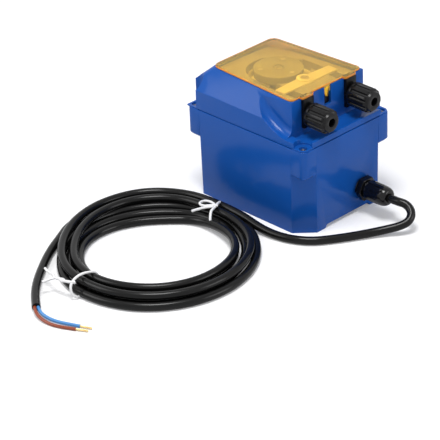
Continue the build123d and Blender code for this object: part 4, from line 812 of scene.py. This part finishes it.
@dataclass
class GlandCap:
    """Domed cap of the cable gland, with sunken grips, a smooth nose and a bore for the gland's neck."""

    columns: int = 40
    grip_every: int = 4
    dome_steps: int = 5
    dome: float = 7.0 * MM
    nose: float = 5.0 * MM
    hole: float = 3.65 * MM
    hole_depth: float = 4.0 * MM
    bore: float = 6.6 * MM
    grip_inset: float = 0.25 * MM
    grip_depth: float = 0.45 * MM
    collar: float = 1.2 * MM
    collar_step: float = 0.6 * MM

    def build(self, finishes: Finishes) -> None:
        """Make the cap.

        Args:
            finishes: The pump's materials.
        """
        low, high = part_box("gland_cap")
        front, back = low[1], high[1]
        middle = Vector(((low[0] + high[0]) / 2, 0.0, (low[2] + high[2]) / 2))
        radius = (high[2] - low[2]) / 2
        barrel_front, barrel_back = front + self.dome, back - self.collar
        deselect_all()
        bpy.ops.mesh.primitive_cylinder_add(
            vertices=self.columns, radius=radius, depth=barrel_back - barrel_front, end_fill_type="NOTHING",
            location=(middle.x, (barrel_back + barrel_front) / 2, middle.z), rotation=(math.pi / 2, 0.0, 0.0))
        piece = bpy.context.object
        piece.name = "gland_dome"
        bpy.ops.object.transform_apply(location=True, rotation=True, scale=True)
        self.sink_grips(piece, middle)
        self.close(piece, middle, front, back, radius)
        smooth_by_angle(piece, Smooth.RIBBED)
        dress(piece, finishes[Finish.GLAND])
        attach(piece, "gland_cap")
        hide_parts("gland_cap")
        LOG.info("%s has %d faces", piece.name, len(piece.data.polygons))

    def sink_grips(self, piece: bpy.types.Object, middle: Vector) -> None:
        """Sink every few columns of the barrel.

        Args:
            piece: The open barrel.
            middle: A point on its axis.
        """
        clear_parts(piece, "FACE")
        for face in piece.data.polygons:
            turn = math.atan2(face.center.z - middle.z, face.center.x - middle.x) / (2 * math.pi)
            face.select = int((turn + 1) * self.columns) % self.grip_every == 0
        bpy.ops.object.mode_set(mode="EDIT")
        bpy.ops.mesh.inset(thickness=self.grip_inset, depth=-self.grip_depth, use_individual=True)
        bpy.ops.object.mode_set(mode="OBJECT")

    def close(self, piece: bpy.types.Object, middle: Vector, front: float, back: float,
              radius: float) -> None:
        """Draw the front edge into the dome and its hole, and the back edge through the collar and bore.

        Args:
            piece: The barrel with its grips.
            middle: A point on its axis.
            front: Lowest Y of the cap.
            back: Highest Y of the cap.
            radius: The barrel's radius.
        """
        start, hole_end = front + self.dome, front + self.hole_depth
        rings = []
        for step in range(1, self.dome_steps + 1):
            turn = math.pi / 2 * step / self.dome_steps
            rings.append((start - self.dome * math.sin(turn),
                          self.nose + (radius - self.nose) * math.cos(turn)))
        self.draw(piece, middle, start, radius, rings + [(front, self.hole), (hole_end, self.hole)])
        collar = radius - self.collar_step
        self.draw(piece, middle, back - self.collar, radius, [
            (back - self.collar, collar), (back, collar), (back, self.bore), (hole_end, self.bore),
            (hole_end, self.hole)])
        activate(piece)
        bpy.ops.object.mode_set(mode="EDIT")
        bpy.ops.mesh.select_all(action="SELECT")
        bpy.ops.mesh.remove_doubles(threshold=TOUCH)
        bpy.ops.mesh.normals_make_consistent(inside=False)
        bpy.ops.object.mode_set(mode="OBJECT")

    def draw(self, piece: bpy.types.Object, middle: Vector, place: float, radius: float,
             rings: list[tuple[float, float]]) -> None:
        """Extrude an open round edge through a row of rings.

        Args:
            piece: The piece to extend.
            middle: A point on its axis.
            place: Y of the open edge.
            radius: Radius of the open edge.
            rings: Y and radius of each new ring.
        """
        clear_parts(piece, "EDGE")
        for edge in piece.data.edges:
            edge.select = all(abs(piece.data.vertices[v].co.y - place) < TOUCH for v in edge.vertices)
        bpy.ops.object.mode_set(mode="EDIT")
        for y, ring in rings:
            scale = ring / radius
            bpy.ops.mesh.extrude_edges_move(TRANSFORM_OT_translate={"value": (0.0, y - place, 0.0)})
            bpy.ops.transform.resize(value=(scale, 1.0, scale), center_override=(middle.x, y, middle.z))
            place, radius = y, ring
        bpy.ops.object.mode_set(mode="OBJECT")


@dataclass(frozen=True)
class PlainParts:
    """Parts that keep the frame's own mesh and only get a finish."""

    nodes: dict[Finish, tuple[str, ...]] = field(default_factory=lambda: {
        Finish.RUBBER: ("cover_gasket", "shaft_seal", "gland_washer", "gland_seal"),
        Finish.STEEL: ("lid_screws", "retainer_screw", "gearbox_screws", "gear_pin", "motor_can",
                       "terminal_screws", "roller_pins", "output_shaft", "rotor_screw", "motor_shaft"),
        Finish.DECK: ("pump_head_insert",),
        Finish.TUBE: ("squeeze_tube",),
        Finish.BRONZE: ("shaft_bushes", "motor_bearing"),
        Finish.NATURAL: ("gearbox_base", "gearbox_lid", "terminal_block", "output_wheel", "idler_gear",
                         "motor_pinion"),
        Finish.COPPER: ("motor_coil",),
        Finish.BLACK: ("gland_locknut", "gland_clamp_ring", "left_grip_ring", "right_grip_ring",
                       "latch_catch"),
        Finish.SHEATH: ("inner_cable",),
        Finish.BROWN: ("inner_brown_core", "motor_brown_lead"),
        Finish.BLUE: ("inner_blue_core", "motor_blue_lead"),
        Finish.WHITE: ("roller_1", "roller_2", "roller_3"),
        Finish.FERRITE: ("motor_magnet",)})

    def build(self, finishes: Finishes) -> None:
        """Dress the parts.

        Args:
            finishes: The pump's materials.
        """
        for finish, nodes in self.nodes.items():
            for node in nodes:
                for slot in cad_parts[node].material_slots:
                    slot.material = finishes[finish]
                LOG.info("dressed %s", node)


# ---------------------------------------------------------------------------
# Studio
# ---------------------------------------------------------------------------


@dataclass(frozen=True)
class Lamp:
    """A soft square lamp, its place and side in metres and its power in watts."""

    name: str
    place: Point
    side: float
    power: float

    def hang(self, target: Point) -> None:
        """Hang the lamp.

        Args:
            target: The point that it faces, in metres.
        """
        data = bpy.data.lights.new(self.name, "AREA")
        data.size = self.side
        data.energy = self.power
        turn = (Vector(target) - Vector(self.place)).to_track_quat("-Z", "Y")
        link(self.name, data).matrix_world = Matrix.Translation(self.place) @ turn.to_matrix().to_4x4()


@dataclass
class Studio(Laid):
    """Pale floor, soft lamps, and the camera, which stands front left and above."""

    focal: float = 212.67
    sensor: float = 36.0
    far: float = 20.0
    stand: Point = (-1268.75, -1245.42, 960.55)
    azimuth: float = -133.75696
    elevation: float = 28.97159
    roll: float = -2.19210
    floor_size: float = 8.0
    floor_colour: Colour = (0.80, 0.80, 0.81)
    floor_roughness: float = 0.6
    floor_specular: float = 0.2
    floor_glow: float = 0.16
    ambient: float = 0.42
    target: Point = (-0.05, 0.0, 0.04)
    lamps: tuple[Lamp, ...] = (
        Lamp("key", (-0.30, -0.15, 1.40), 0.5, 15.0),
        Lamp("fill", (-1.0, 0.7, 0.9), 0.8, 7.0),
        Lamp("front", (0.5, -1.3, 0.6), 0.7, 6.0))

    def camera(self) -> None:
        """Set up the camera."""
        data = bpy.data.cameras.new("camera")
        data.sensor_width = self.sensor
        data.lens = self.focal
        data.clip_end = self.far
        heading, height = math.radians(self.azimuth), math.radians(self.elevation)
        back = Vector((math.cos(height) * math.cos(heading), math.cos(height) * math.sin(heading),
                       math.sin(height)))
        level = Vector((0.0, 0.0, 1.0)).cross(back).normalized()
        axes = Matrix((level, back.cross(level), back)).transposed().to_4x4()
        camera = link("camera", data)
        camera.matrix_world = (Matrix.Translation(self.place(self.stand)) @ axes
                               @ Matrix.Rotation(math.radians(self.roll), 4, "Z"))
        bpy.context.scene.camera = camera

    def floor(self) -> None:
        """Lay the pale floor, which glows a little for the camera alone."""
        deselect_all()
        bpy.ops.mesh.primitive_plane_add(size=self.floor_size, location=(0, 0, 0))
        floor = bpy.context.object
        floor.name = "floor"
        material = bpy.data.materials.new("floor pale")
        material.use_nodes = True
        tree = material.node_tree
        shader = node_of(tree, "ShaderNodeBsdfPrincipled")
        shader.inputs["Base Color"].default_value = (*self.floor_colour, 1.0)
        shader.inputs["Roughness"].default_value = self.floor_roughness
        shader.inputs["Specular IOR Level"].default_value = self.floor_specular
        glow = tree.nodes.new("ShaderNodeEmission")
        glow.inputs["Color"].default_value = (1.0, 1.0, 1.0, 1.0)
        path = tree.nodes.new("ShaderNodeLightPath")
        level = math_node(tree, "MULTIPLY", path.outputs["Is Camera Ray"], self.floor_glow)
        tree.links.new(level, glow.inputs["Strength"])
        both = tree.nodes.new("ShaderNodeAddShader")
        tree.links.new(shader.outputs["BSDF"], both.inputs[0])
        tree.links.new(glow.outputs["Emission"], both.inputs[1])
        tree.links.new(both.outputs["Shader"], node_of(tree, "ShaderNodeOutputMaterial").inputs["Surface"])
        dress(floor, material)

    def world(self) -> None:
        """Set the surrounding light, and white for what the camera and gloss see behind the part."""
        world = bpy.data.worlds.new("studio")
        bpy.context.scene.world = world
        world.use_nodes = True
        tree = world.node_tree
        shader = node_of(tree, "ShaderNodeBackground")
        shader.inputs["Color"].default_value = (1.0, 1.0, 1.0, 1.0)
        path = tree.nodes.new("ShaderNodeLightPath")
        shine = math_node(tree, "MAXIMUM", path.outputs["Is Glossy Ray"], path.outputs["Is Transmission Ray"])
        seen = math_node(tree, "MAXIMUM", path.outputs["Is Camera Ray"], shine)
        level = tree.nodes.new("ShaderNodeMapRange")
        level.inputs["To Min"].default_value = self.ambient
        level.inputs["To Max"].default_value = 1.0
        tree.links.new(seen, level.inputs["Value"])
        tree.links.new(level.outputs["Result"], shader.inputs["Strength"])

    def build(self) -> None:
        """Make the whole studio."""
        self.camera()
        self.floor()
        self.world()
        for lamp in self.lamps:
            lamp.hang(self.target)
        bpy.context.scene.view_settings.view_transform = "Standard"


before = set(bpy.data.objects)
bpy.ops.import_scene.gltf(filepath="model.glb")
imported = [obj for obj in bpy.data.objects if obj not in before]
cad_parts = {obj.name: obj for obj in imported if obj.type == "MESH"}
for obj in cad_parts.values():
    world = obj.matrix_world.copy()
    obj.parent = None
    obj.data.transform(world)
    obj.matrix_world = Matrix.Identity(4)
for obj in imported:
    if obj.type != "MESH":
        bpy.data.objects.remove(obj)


def main() -> None:
    """Build the scene."""
    logging.basicConfig(level=logging.INFO, format="%(name)s: %(message)s")
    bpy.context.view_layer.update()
    low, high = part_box("rear_housing")
    shift_y = (low[1] + high[1]) / 2
    MouldedSurface().build()
    finishes = {finish: finish.value.build() for finish in Finish}
    Studio(shift_y).build()
    for piece in Cord(shift_y).build(finishes):
        LOG.info("built %s", piece.name)
    Mouldings().build(finishes)
    Window().build(finishes)
    GlandCap().build(finishes)
    PlainParts().build(finishes)


if __name__ == "__main__":
    main()
